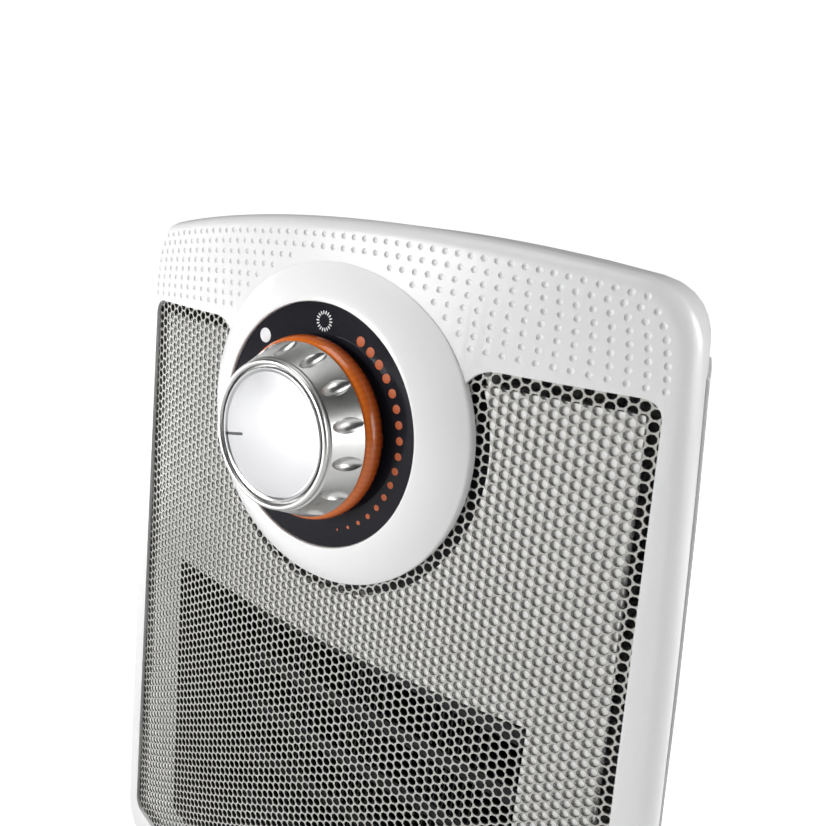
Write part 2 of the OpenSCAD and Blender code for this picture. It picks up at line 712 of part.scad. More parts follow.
// Thermostat behind the dial
panel_back = dial_proud + wall;     // depth of the panel's inner face behind the dial
stat_w = 34;
stat_h = 30;
stat_d = 16;
stat_front_z = -panel_back - bulge(stat_w / 2, front_r - wall) - 0.1;
module thermostat() {
    front_z = stat_front_z;
    color("#d9d4c4") on_dial() difference() {
        union() {
            translate([-stat_w / 2, -stat_h / 2, front_z - stat_d]) cube([stat_w, stat_h, stat_d]);
            translate([0, 0, front_z - 1]) cylinder(r = 8, h = 0.8 - panel_back - front_z);
            translate([0, 0, front_z - 1]) cylinder(r = bushing_r, h = 1 - front_z + 2.4);
            for (x = [-11, 0, 11]) translate([x - 3.15, -stat_h / 2 - 8, front_z - 10]) cube([6.3, 9, 0.8]);
        }
        translate([0, 0, front_z - stat_d + 2]) cylinder(r = shaft_r + running, h = 60);
    }
}
module thermostat_nut() {
    color("silver") on_dial() difference() {
        translate([0, 0, 0.02]) cylinder(r = nut_af / 2 / cos(30), h = 2, $fn = 6);
        translate([0, 0, -1]) cylinder(r = bushing_r + 0.02, h = 5);
    }
}
shaft_flat = shaft_r - 0.8;
module shaft_section(grow) {
    intersection() {
        circle(r = shaft_r + grow);
        translate([-10, -10]) square([20, 10 + shaft_flat + grow]);
    }
}
shaft_top = knob_h - 4.2;
flat_z = 3.1;           // where the shaft's flat begins, just above its bushing
module thermostat_shaft() {
    foot_z = stat_front_z - stat_d + 2.1;
    color("silver") on_dial() union() {
        translate([0, 0, foot_z]) cylinder(r = shaft_r, h = flat_z + 0.1 - foot_z);
        translate([0, 0, flat_z]) linear_extrude(shaft_top - flat_z) shaft_section(0);
    }
}

// Knob: scalloped skirt, bright face and translucent amber ring
skirt_z = 6.3;
ring_gap = 0.4;
spigot_r = 18;
cap_t = 1.2;
face_r = knob_face_r - 1.6;
knob_wall = 2;
web_z = skirt_z + 4;
skirt_slope = atan2(knob_base_r - knob_face_r, knob_h - 0.8 - skirt_z);
scallop_len = 6.2;
scallop_w = 2.6;
scallop_arc = (scallop_len * scallop_len + scallop_w * scallop_w) / (2 * scallop_w);
scallop_z = (knob_h + skirt_z) / 2 - 0.4;
pointer_angle = 184.5;  // the pointer rests just below nine o'clock
module scallop() {
    steps = 6;
    rotate_extrude($fn = 32) polygon(concat([[0, -scallop_len]], [for (i = [1:steps - 1])
        let (s = scallop_len * (2 * i / steps - 1))
            [sqrt(scallop_arc * scallop_arc - s * s) - scallop_arc + scallop_w, s]], [[0, scallop_len]]));
}
module at_scallops() {
    up_skirt = (knob_h - 0.8 - scallop_z) / (knob_h - 0.8 - skirt_z);
    surface_r = knob_face_r + (knob_base_r - knob_face_r) * up_skirt;
    for (i = [0:scallop_count - 1]) rotate(pointer_angle + (i + 0.5) * 360 / scallop_count)
        translate([surface_r + scallop_w - scallop_depth, 0, scallop_z])
            rotate([0, -skirt_slope, 0]) children();
}
module knob_body() {
    color("silver") on_dial() difference() {
        union() {
            rotate_extrude() polygon([[0, web_z], [spigot_r - knob_wall, web_z],
                [spigot_r - knob_wall, 2], [spigot_r, 2], [spigot_r, skirt_z],
                [knob_base_r - 0.4, skirt_z], [knob_base_r, skirt_z + 0.4],
                [knob_face_r + 0.35, knob_h - 1.7], [knob_face_r - 0.1, knob_h - 1.4],
                [knob_face_r, knob_h - 0.8],
                [knob_face_r - 0.4, knob_h - 0.2], [knob_face_r - 0.9, knob_h], [face_r, knob_h - 0.3],
                [face_r, knob_h - cap_t - 0.6], [0, knob_h - cap_t - 0.6]]);
            translate([0, 0, flat_z + 0.3]) cylinder(r = shaft_r + 3.2, h = web_z - flat_z);
        }
        at_scallops() scallop();
        translate([0, 0, flat_z - 1]) linear_extrude(shaft_top - flat_z + 1.2) shaft_section(0.03);
    }
}
module knob_cap() {
    color("#d8d8da") on_dial() difference() {
        translate([0, 0, knob_h - cap_t - 0.55]) cylinder(r = face_r - 0.05, h = cap_t);
        rotate(pointer_angle) translate([face_r - 7, -0.4, knob_h - 0.95]) cube([6, 0.8, 2]);
    }
}
module amber_ring() {
    belly = (ring_gap + skirt_z) * 0.42;
    low_half = (belly - ring_gap) / sin(60);
    high_half = (skirt_z - 0.1 - belly) / sin(75);
    color("darkorange") on_dial() union() {
        rotate_extrude() polygon(concat([[spigot_r + 0.1, ring_gap]],
            [for (i = [0:8]) let (a = -60 + 135 * i / 8)
                [ring_r - 2.2 + 2.2 * cos(a), belly + (a < 0 ? low_half : high_half) * sin(a)]],
            [[spigot_r + 0.1, skirt_z - 0.1]]));
        rotate(pointer_angle + 180) translate([ring_r - 1.5, -1.6, belly - 1.6]) cube([1.9, 3.2, 3.2]);
    }
}

// Electrical pieces on the floor of the housing
floor_z = ground_gap + wall + 0.1;
module terminal_block() {
    block_x = 12;
    ways = 3;
    way_w = 12;
    block_d = 14;
    block_h = 13;
    wire_z = 5;
    color("#e8e4d8") translate([block_x, shell_back_y - 20 - block_d, floor_z]) difference() {
        cube([ways * way_w, block_d, block_h]);
        for (i = [0:ways - 1]) translate([(i + 0.5) * way_w, 0, wire_z]) {
            translate([0, block_d / 2, 0]) cylinder(r = way_w * 0.2, h = block_h);
            translate([0, -1, 0]) rotate([-90, 0, 0]) cylinder(r = way_w * 0.15, h = block_d + 2);
        }
    }
}
module tilt_switch() {
    switch_x = -43;
    switch_w = 18;
    switch_h = 15;
    blade_w = 4.8;
    color("#2d2d30") translate([switch_x, shell_back_y - 18 - switch_w / 2, floor_z]) union() {
        translate([-switch_w / 2, -switch_w / 2, 0]) cube([switch_w, switch_w, switch_h]);
        translate([0, 0, switch_h]) cylinder(r = switch_w / 3, h = 6);
        for (side = [-1, 1]) translate([side * 4 - blade_w / 2, 4 - switch_w / 2, switch_h])
            cube([blade_w, 0.8, 7]);
    }
}
module cord_gland() {
    color("#26262a") translate([gland_x, 0, gland_z]) difference() {
        union() {
            rod_y(shell_back_y - wall - 3, shell_back_y + 0.1, cord_r + 2.6);
            rod_y(shell_back_y + 0.05, shell_back_y + 2.6, cord_r + 4);
            rod_y(shell_back_y - wall - 3, shell_back_y - wall - 1.2, cord_r + 3.6);
        }
        rod_y(shell_back_y - 20, back_y + 5, cord_r);
    }
}

// Fasteners
module screw(head_r, head_h, length) {
    rotate([90, 0, 0]) {
        translate([0, 0, -0.3]) cylinder(r = screw_r, h = length + 0.3);
        difference() {
            translate([0, 0, -head_h]) cylinder(r = head_r, h = head_h);
            for (a = [0, 90]) rotate(a) translate([-head_r * 0.55, -0.45, -head_h - 1])
                cube([head_r * 1.1, 0.9, 1.9]);
        }
    }
}
module housing_screws() {
    color("silver") at_posts() translate([0, well_y, 0]) screw(3.2, 2.2, well_y - split_y + 10);
}
module shroud_screws() {
    color("silver") shroud_bolts() translate([0, shroud_y, 0]) rotate([180, 0, 0]) screw(3, 1.8, 12);
}
module motor_screws() {
    color("silver") motor_bolts() translate([0, arm_y + 3, 0]) screw(2.8, 1.6, 5.5);
}

front_panel();
front_mesh();
outlet_frame();
dial_bezel();
dial_plate();
rear_shell();
rear_grille();
base_plate();
rubber_feet();
heater_frame();
ptc_bars();
ptc_fins();
heater_terminals();
thermal_cutout();
fan_shroud();
motor_can();
motor_stator();
motor_bearings();
thermostat();
thermostat_nut();
terminal_block();
tilt_switch();
cord_gland();
housing_screws();
shroud_screws();
motor_screws();
knob_body();
knob_cap();
amber_ring();
thermostat_shaft();
fan_impeller();
motor_shaft();
motor_rotor();
impeller_clip();
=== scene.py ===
import math
import bmesh
import bpy
from mathutils import Matrix, Vector


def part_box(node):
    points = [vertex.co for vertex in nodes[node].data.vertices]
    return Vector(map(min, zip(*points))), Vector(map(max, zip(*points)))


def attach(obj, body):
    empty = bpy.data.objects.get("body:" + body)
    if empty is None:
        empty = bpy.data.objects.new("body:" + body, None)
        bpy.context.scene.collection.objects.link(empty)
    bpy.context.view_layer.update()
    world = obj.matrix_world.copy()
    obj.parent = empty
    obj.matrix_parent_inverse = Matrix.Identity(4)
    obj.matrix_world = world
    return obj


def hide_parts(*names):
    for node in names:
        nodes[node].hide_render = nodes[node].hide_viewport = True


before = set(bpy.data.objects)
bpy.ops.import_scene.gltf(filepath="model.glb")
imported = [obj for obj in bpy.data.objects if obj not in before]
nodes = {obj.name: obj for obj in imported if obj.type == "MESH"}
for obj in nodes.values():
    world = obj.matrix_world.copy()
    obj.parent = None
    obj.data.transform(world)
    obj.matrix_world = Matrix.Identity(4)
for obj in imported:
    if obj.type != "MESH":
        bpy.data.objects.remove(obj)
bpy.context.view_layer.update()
mm = 0.001
panelLow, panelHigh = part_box("front_panel")
dialLow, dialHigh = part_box("dial_plate")
dialCentre = Vector(((dialLow.x + dialHigh.x) / 2, dialLow.y, (dialLow.z + dialHigh.z) / 2))
tiny = 1e-6

housing = {
    "topWidth": 176,  # between the top corners
    "sideBow": 2,
    "crownRadius": 495,
    "cornerRadius": 16.5,
    "footCornerRadius": 12,
    "bulgeRadius": 394,  # the front is part of an upright cylinder
    "edgeRadius": 4,
    "sideDraft": 10.5,  # degrees by which the sides draw in towards the back
    "wall": 2.5,
    "windowBorder": 5.5,
    "windowBorderLow": 10,
    "windowRise": 22.2,  # window's top edge above the dial's centre
    "windowSill": 14,
    "windowCorner": 4.5,
    "rimRound": 0.45,  # rounding of the window's edge
    "islandRadius": 40,  # disc of the panel that carries the dial
    "islandFillet": 9,
    "islandLap": 4.3,  # how far the sheet's rebate reaches in behind that disc
    "bushingHole": 5.1,  # radius of the hole for the thermostat
    "strips": 52,  # upright strips that a bulged piece is split into
}
frontY = panelLow.y
splitY = panelHigh.y
underside = panelLow.z
crownZ = panelHigh.z
footWidth = panelHigh.x - panelLow.x


# Small helpers for working as in the viewport

def deselectAll():
    if bpy.context.object and bpy.context.object.mode != "OBJECT":
        bpy.ops.object.mode_set(mode="OBJECT")
    bpy.ops.object.select_all(action="DESELECT")


def activate(piece):
    deselectAll()
    piece.select_set(True)
    bpy.context.view_layer.objects.active = piece


def justAdded(name):
    piece = bpy.context.object
    piece.name = name
    piece.data.name = name
    return piece


def addObject(name, data):
    piece = bpy.data.objects.new(name, data)
    bpy.context.scene.collection.objects.link(piece)
    return piece


def addRing(name, places, fill="NOTHING"):
    # a circle whose vertices are moved to the given places
    bpy.ops.mesh.primitive_circle_add(vertices=len(places), fill_type=fill)
    piece = justAdded(name)
    for vertex, place in zip(piece.data.vertices, places):
        vertex.co = place
    return piece


def editAll(piece, mode="VERT"):
    activate(piece)
    bpy.ops.object.mode_set(mode="EDIT")
    bpy.ops.mesh.select_mode(type=mode)
    bpy.ops.mesh.select_all(action="SELECT")


def editWhere(piece, mode, test):
    # edit mode with only the parts selected that pass the test
    activate(piece)
    bpy.ops.object.mode_set(mode="EDIT")
    bpy.ops.mesh.select_mode(type=mode)
    bpy.ops.mesh.select_all(action="DESELECT")
    shape = bmesh.from_edit_mesh(piece.data)
    parts = {"VERT": shape.verts, "EDGE": shape.edges, "FACE": shape.faces}[mode]
    for part in parts:
        if test(part):
            part.select_set(True)
    shape.select_flush_mode()
    bmesh.update_edit_mesh(piece.data)


def closeEdit():
    bpy.ops.object.mode_set(mode="OBJECT")


def fixNormals(piece, gap=tiny):
    editAll(piece)
    bpy.ops.mesh.remove_doubles(threshold=gap)
    bpy.ops.mesh.delete_loose()
    bpy.ops.mesh.select_all(action="SELECT")
    bpy.ops.mesh.normals_make_consistent(inside=False)
    closeEdit()


def applyModifier(piece, kind, **settings):
    activate(piece)
    modifier = piece.modifiers.new(kind.lower(), kind)
    for key, value in settings.items():
        setattr(modifier, key, value)
    bpy.ops.object.modifier_apply(modifier=modifier.name)


def bakePlace(piece):
    activate(piece)
    bpy.ops.object.transform_apply(location=True, rotation=True, scale=True)
    return piece


def cutWith(piece, cutter, operation="DIFFERENCE"):
    applyModifier(piece, "BOOLEAN", operation=operation, solver="EXACT", object=cutter)
    bpy.data.objects.remove(cutter)


def joined(pieces, name):
    deselectAll()
    for piece in pieces:
        piece.select_set(True)
    bpy.context.view_layer.objects.active = pieces[0]
    bpy.ops.object.join()
    return justAdded(name)


def smoothByAngle(piece, degrees=30):
    activate(piece)
    bpy.ops.object.shade_smooth_by_angle(angle=math.radians(degrees))


def outlineSolid(name, outline, fromY, toY):
    # an outline in x and z, filled and pulled back into a solid
    piece = addRing(name, [(x, fromY, z) for x, z in outline], "NGON")
    editAll(piece, "FACE")
    bpy.ops.mesh.extrude_region_move(TRANSFORM_OT_translate={"value": (0, toY - fromY, 0)})
    bpy.ops.mesh.select_all(action="SELECT")
    bpy.ops.mesh.normals_make_consistent(inside=False)
    closeEdit()
    return piece


def turned(name, profile, steps):
    # a closed profile of radius and height, spun round the dial's axis
    c = dialCentre
    piece = addRing(name, [(c.x + radius * mm, c.y - height * mm, c.z) for radius, height in profile])
    editAll(piece)
    bpy.ops.mesh.spin(steps=steps, angle=2 * math.pi, center=dialCentre, axis=(0, 1, 0))
    closeEdit()
    fixNormals(piece)
    return piece


def arcPoints(cx, cy, radius, start, end, count):
    turns = [math.radians(start + (end - start) * i / count) for i in range(count + 1)]
    return [(cx + radius * math.cos(a), cy + radius * math.sin(a)) for a in turns]


def mirroredOutline(half):
    return half + [(-x, z) for x, z in reversed(half)]


# Outline of the housing, as the solids have it

def bulge(x, radius):
    return radius - math.sqrt(radius * radius - x * x)


def sideAt(z):
    low = underside + housing["footCornerRadius"] * mm
    cornerX = (housing["topWidth"] / 2 - housing["cornerRadius"]) * mm
    reach = (housing["crownRadius"] - housing["cornerRadius"]) * mm
    high = crownZ - housing["crownRadius"] * mm + math.sqrt(reach * reach - cornerX * cornerX)
    t = (high - z) / (high - low)
    bow = housing["sideBow"] * mm * 4 * t * (1 - t)
    return housing["topWidth"] * mm / 2 + (footWidth - housing["topWidth"] * mm) / 2 * t + bow


def housingOutline(inset):
    corner = (housing["cornerRadius"] - inset) * mm
    footCorner = (housing["footCornerRadius"] - inset) * mm
    d = inset * mm
    topSide = housing["topWidth"] * mm / 2 - d
    footSide = footWidth / 2 - d
    crownR = housing["crownRadius"] * mm
    cx = topSide - corner
    cz = crownZ - crownR + math.sqrt((crownR - d - corner) ** 2 - cx * cx)
    footZ = underside + d + footCorner
    lean = math.degrees(math.atan2(footSide - topSide, cz - footZ))
    turn = math.degrees(math.atan2(cz - crownZ + crownR, cx))
    half = [((footSide - footCorner) * i / 8, underside + d) for i in range(1, 8)]
    low = arcPoints(footSide - footCorner, footZ, footCorner, -90, lean, 7)
    high = arcPoints(cx, cz, corner, lean, turn, 12)
    sides = []
    for i in range(1, 12):
        t = i / 12
        x = low[-1][0] + (high[0][0] - low[-1][0]) * t + housing["sideBow"] * mm * 4 * t * (1 - t)
        sides.append((x, low[-1][1] + (high[0][1] - low[-1][1]) * t))
    crown = arcPoints(0, crownZ - crownR, crownR - d, turn, 90, 12)[1:-1]
    half = half + low + sides + high + crown
    return half + [(0, crownZ - d)] + [(-x, z) for x, z in reversed(half)] + [(0, underside + d)]


windowTop = dialCentre.z + housing["windowRise"] * mm
windowBottom = underside + housing["windowSill"] * mm
windowHigh = sideAt(windowTop) - housing["windowBorder"] * mm
windowLow = sideAt(windowBottom) - housing["windowBorderLow"] * mm


def windowHalf(z):
    return windowHigh + (windowLow - windowHigh) * (windowTop - z) / (windowTop - windowBottom)


def windowOutline(grow=0.0):
    high = windowTop + grow * mm
    low = windowBottom - grow * mm
    r = max(housing["windowCorner"] + grow, 0.5) * mm
    lean = math.degrees(math.atan2(windowLow - windowHigh, windowTop - windowBottom))
    right = arcPoints(windowHalf(low) + grow * mm - r, low + r, r, -90, lean, 8)
    right += arcPoints(windowHalf(high) + grow * mm - r, high - r, r, lean, 90, 10)
    return mirroredOutline(right)


def sideScale(y):
    behind = bulge(housing["topWidth"] / 2, housing["bulgeRadius"]) + housing["edgeRadius"]
    start = frontY + behind * mm
    drawIn = max(y - start, 0) * math.tan(math.radians(housing["sideDraft"]))
    return 1 - drawIn / (housing["topWidth"] / 2 * mm)


def taperBack(piece):
    for vertex in piece.data.vertices:
        if vertex.co.y > splitY - tiny:
            vertex.co.x *= sideScale(vertex.co.y)


# Front panel: a filled outline pulled back, its rim rounded, bulged, hollowed, then cut

def bulgePiece(piece, radius, fromY):
    # split into upright strips, then all in front of a depth is bulged
    editAll(piece)
    for i in range(1, housing["strips"]):
        x = footWidth * (i / housing["strips"] - 0.5)
        bpy.ops.mesh.select_all(action="SELECT")
        bpy.ops.mesh.bisect(plane_co=(x, 0, 0), plane_no=(1, 0, 0))
    closeEdit()
    for vertex in piece.data.vertices:
        if vertex.co.y < fromY:
            vertex.co.y += bulge(vertex.co.x, radius)


def layBehindFront(piece, depth, before=splitY):
    # lays all that stands in front of a place on a surface this deep behind the front's
    radius = housing["bulgeRadius"] * mm
    for vertex in piece.data.vertices:
        if vertex.co.y < before:
            vertex.co.y = frontY + radius - math.sqrt((radius - depth) ** 2 - vertex.co.x ** 2)


def islandCutter(name, fromY, toY):
    # the disc that carries the dial, with the fillets where the window's top edge runs into it
    radius = housing["islandRadius"]
    fillet = housing["islandFillet"]
    rise = housing["windowRise"]
    cx = math.sqrt((radius + fillet) ** 2 - (rise - fillet) ** 2)
    meet = 180 + math.degrees(math.atan2(rise - fillet, cx))
    curve = arcPoints(cx, rise - fillet, fillet, 90, meet, 12)
    contact = math.degrees(math.atan2(curve[-1][1], curve[-1][0]))
    below = arcPoints(0, 0, radius, -90, contact, 40)
    right = below + list(reversed(curve[:-1])) + [(cx, rise + 1)]
    outline = [(x * mm, dialCentre.z + z * mm) for x, z in right[1:]]
    outline = [(0, dialCentre.z - radius * mm)] + mirroredOutline(outline)
    return outlineSolid(name, outline, fromY, toY)


# Small round hollows on the crown, in rows that follow its arch

dimples = {
    "radius": 0.82,
    "depth": 0.42,
    "bezelGap": 1.0,  # least distance from a dimple's centre to the bezel
    "windowGap": 1.0,  # least distance from a dimple's rim to the window
    "rows": 9,
    "fullRows": 2,  # rows that run right across; the others are mirrored
    "firstRise": 48.4,  # top row's height above the dial's centre
    "rowStep": 2.98,
    "rowBend": 0.00182,  # curvature of the top row
    "bendLoss": 0.00015,  # what each row below has less
    "rowSag": 0.012,
    "ballTurn": 0.13,  # radians, to keep the balls' seams off the panel's edges
    "drawIn": 0.6,  # draws the balls in a little towards the middle
    "halfWidths": (76.8, 79.2, 80.8, 81.8, 82.4, 82.9, 83.2, 83.4, 83.4),
    "pitches": (3.268, 3.37, 3.58, 3.66, 3.78, 3.84, 3.87, 3.93, 3.97),
}


def dimplePlaces():
    places = []
    bezelRadius = (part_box("dial_bezel")[1].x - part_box("dial_bezel")[0].x) / 2
    for row in range(dimples["rows"]):
        mirrored = row >= dimples["fullRows"]
        curve = dimples["rowBend"] - dimples["bendLoss"] * row
        count = int(2 * dimples["halfWidths"][row] / dimples["pitches"][row])
        for i in range(count + 1):
            x = dimples["halfWidths"][row] - dimples["pitches"][row] * i
            if mirrored and x < 0:
                break
            drop = curve * x * x / 2 + dimples["rowSag"] * row * row
            rise = dimples["firstRise"] - dimples["rowStep"] * row - drop
            if math.hypot(x, rise) * mm < bezelRadius + dimples["bezelGap"] * mm:
                continue
            z = dialCentre.z + rise * mm
            near = (dimples["radius"] + dimples["windowGap"]) * mm
            if z < windowTop + near and abs(x) * mm < windowHalf(z) + near:
                continue
            for side in (1, -1) if mirrored else (1,):
                places.append((side * x * mm, z))
    return places


def cutDimples(panel):
    places = dimplePlaces()
    hollow = dimples["radius"] * mm
    depth = dimples["depth"] * mm
    ball = (hollow * hollow + depth * depth) / (2 * depth)
    radius = housing["bulgeRadius"] * mm
    bpy.ops.mesh.primitive_uv_sphere_add(segments=16, ring_count=12, radius=ball)
    first = justAdded("dimpleBall")
    editAll(first)
    bpy.ops.transform.rotate(value=math.pi / 2, orient_axis="X", center_override=(0, 0, 0))
    bpy.ops.transform.rotate(value=dimples["ballTurn"], orient_axis="Y", center_override=(0, 0, 0))
    closeEdit()
    balls = []
    for x, z in places:
        copy = addObject("dimpleBall", first.data.copy())
        inwards = 1 - dimples["drawIn"] * mm / radius
        copy.location = (x * inwards, frontY + bulge(x, radius) - (ball - depth), z)
        balls.append(copy)
    bpy.data.objects.remove(first)
    cutter = joined(balls, "dimpleBalls")
    bakePlace(cutter)
    applyModifier(panel, "BOOLEAN", operation="DIFFERENCE", solver="EXACT", use_hole_tolerant=True,
                  object=cutter)
    bpy.data.objects.remove(cutter)
    print("dimples:", len(places))


def makePanel():
    radius = housing["bulgeRadius"] * mm
    edge = housing["edgeRadius"] * mm
    panel = outlineSolid("frontPanelShell", housingOutline(0), frontY, splitY)
    editWhere(panel, "EDGE", lambda e: all(v.co.y < frontY + tiny for v in e.verts))
    bpy.ops.mesh.bevel(offset=edge, segments=8, profile=0.5, affect="EDGES", clamp_overlap=False)
    closeEdit()
    bulgePiece(panel, radius, frontY + edge + tiny)
    taperBack(panel)
    hollow = outlineSolid("hollow", housingOutline(housing["wall"]), frontY, splitY + mm)
    bulgePiece(hollow, radius, frontY + tiny)
    layBehindFront(hollow, housing["wall"] * mm)
    taperBack(hollow)
    cutWith(panel, hollow)
    window = outlineSolid("window", windowOutline(), frontY - 5 * mm, splitY + mm)
    cutWith(window, islandCutter("island", frontY - 6 * mm, splitY + 2 * mm))
    cutWith(panel, window)
    rebate = outlineSolid("rebate", windowOutline(grille["lap"] + grille["room"]), frontY, splitY + mm)
    bulgePiece(rebate, radius, frontY + tiny)
    layBehindFront(rebate, (grille["depth"] - grille["seat"]) * mm)
    island = housing["islandRadius"] - housing["islandLap"]
    cutWith(rebate, turned("islandBack", [(0, -30), (island, -30), (island, 15), (0, 15)], 90))
    cutWith(panel, rebate)
    hole = housing["bushingHole"]
    cutWith(panel, turned("bushingHole", [(0, -20), (hole, -20), (hole, 10), (0, 10)], 48))
    cutDimples(panel)

    def onWindowRim(e):
        middle = (e.verts[0].co + e.verts[1].co) / 2
        near = all(abs(v.co.y - frontY - bulge(v.co.x, radius)) < 0.02 * mm for v in e.verts)
        inside = abs(middle.x) < windowHalf(middle.z) + 0.5 * mm and middle.z < windowTop + 0.1 * mm
        return near and inside and e.calc_face_angle(0) > 1.0
    editWhere(panel, "EDGE", onWindowRim)
    bpy.ops.mesh.bevel(offset=housing["rimRound"] * mm, segments=3, profile=0.5, affect="EDGES",
                       clamp_overlap=True)
    closeEdit()
    smoothByAngle(panel, 34)
    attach(panel, "housing")
    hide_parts("front_panel")
    return panel


# Perforated sheet: the bridges between holes, repeated two ways, cropped and curved

grille = {
    "pitch": 2.7,
    "holeRadius": 1.21,
    "thickness": 0.5,
    "depth": 1.25,  # of the sheet behind the front's surface
    "lap": 1.5,  # overlap of the sheet behind the window's edge
    "room": 0.4,  # between the sheet's edge and the side of its rebate
    "seat": 0.03,  # rebate and bezel end this much in front of the sheet
    "underDial": 4,  # how far the sheet runs in behind the dial's disc
    "startX": 70.02,  # centre of one hole from the dial's centre
    "startZ": -12.0,
    "weldGap": 0.005,
}


def makeBridges(right, up):
    # the metal between one hole and its neighbours
    hole = grille["holeRadius"] * mm

    def corner(steps, angle):
        turn = math.radians(angle)
        place = right * steps[0] + up * steps[1]
        return (place.x + hole * math.cos(turn), place.y + hole * math.sin(turn))
    here, above, beside, low = (0, 0), (0, 1), (1, 0), (1, -1)
    strip = [corner(here, 67.5), corner(here, 112.5), corner(above, 247.5), corner(above, 292.5)]
    leftFill = [corner(here, 22.5), corner(here, 67.5), corner(above, 292.5), corner(above, 337.5),
                corner(beside, 157.5), corner(beside, 202.5)]
    rightFill = [corner(here, 22.5), corner(beside, 202.5), corner(beside, 247.5),
                 corner(low, 112.5), corner(low, 157.5), corner(here, -22.5)]
    fills = []
    for outline in (strip, leftFill, rightFill):
        fills.append(addRing("bridge", [(x, 0, z) for x, z in outline], "NGON"))
    return joined(fills, "grilleSheet")


def makeGrille():
    pitch = grille["pitch"] * mm
    right = Vector((pitch * math.cos(math.radians(30)), pitch / 2))
    meshLow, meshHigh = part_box("front_mesh")
    sheet = makeBridges(right, Vector((0, pitch)))
    columns = int((meshHigh.x - meshLow.x) / right.x) + 8
    rows = int((meshHigh.z - meshLow.z) / pitch) + 6
    applyModifier(sheet, "ARRAY", count=2 * rows, use_relative_offset=False, use_constant_offset=True,
                  constant_offset_displace=(0, 0, pitch))
    twin = addObject("grilleTwin", sheet.data.copy())
    for vertex in twin.data.vertices:
        vertex.co.x += right.x
        vertex.co.z += right.y
    sheet = joined([sheet, twin], "grilleSheet")
    applyModifier(sheet, "ARRAY", count=columns // 2, use_relative_offset=False,
                  use_constant_offset=True, constant_offset_displace=(2 * right.x, 0, 0))
    # moved so that a hole's centre lies at startX, startZ
    farLeft = math.ceil((grille["startX"] * mm - meshLow.x) / (2 * right.x) + 1)
    farDown = math.ceil((dialCentre.z - meshLow.z) / pitch + 4)
    offset = Vector((grille["startX"] * mm - farLeft * 2 * right.x, 0,
                     dialCentre.z + grille["startZ"] * mm - farDown * pitch))
    for vertex in sheet.data.vertices:
        vertex.co += offset
    fixNormals(sheet, grille["weldGap"] * mm)
    lap = grille["lap"] * mm
    inner = (housing["islandRadius"] - grille["underDial"]) * mm

    def outside(face):
        place = face.calc_center_median()
        beyond = not windowBottom - lap < place.z < windowTop + lap
        if beyond or abs(place.x) > windowHalf(place.z) + lap:
            return True
        return math.hypot(place.x, place.z - dialCentre.z) < inner
    editWhere(sheet, "FACE", outside)
    bpy.ops.mesh.delete(type="FACE")
    closeEdit()
    layBehindFront(sheet, grille["depth"] * mm, 1)
    editAll(sheet)
    bpy.ops.mesh.normals_make_consistent(inside=False)
    closeEdit()
    backwards = sum(face.normal.y for face in sheet.data.polygons)
    if backwards > 0:
        sheet.data.flip_normals()
    # the enamel stays on the front; the holes' walls and the back get the second material, a dark one
    # that is painted shade for the shadow seen through the holes
    sheet.data.materials.append(grilleMetal)
    sheet.data.materials.append(grilleShadeBack)
    applyModifier(sheet, "SOLIDIFY", thickness=grille["thickness"] * mm, offset=-1.0,
                  material_offset=1, material_offset_rim=1)
    smoothByAngle(sheet, 50)
    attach(sheet, "housing")
    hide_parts("front_mesh")
    print("grille faces:", len(sheet.data.polygons))


# Backing behind the sheet, with the duct that carries the warm air to its opening

innerFrame = {
    "gap": 0.4,  # between the sheet and the plate
    "thickness": 1.5,
    "short": 3.9,  # from the window's edge to the plate's edge
    "dialGap": 3.0,  # between the bezel and the plate
    "width": 130,  # of the warm-air opening
    "height": 99.3,
    "corner": 0.5,
    "rise": 0.65,  # of the opening's middle above the heater's middle
    "ductWall": 2,
    "collarInner": 41,  # radius of the opening in the dark collar
    "collarFront": 9.3,  # depths of its rim, floor and back behind the dial's face
    "collarFloor": 11.6,
    "collarBack": 13,
    "collarStart": 0.7,  # where its rim begins and ends outside the plate's round edge
    "collarEnd": 2,
}


def openingOutline(wall, middle):
    # the warm-air opening's outline, or with a wall that of the duct round it
    corner = innerFrame["corner"] * mm
    w = (innerFrame["width"] + 2 * wall) / 2 * mm - corner
    h = (innerFrame["height"] + 2 * wall) / 2 * mm - corner
    low = arcPoints(w, middle - h, corner, -90, 0, 4)
    high = arcPoints(w, middle + h, corner, 0, 90, 4)
    return mirroredOutline(low + high)


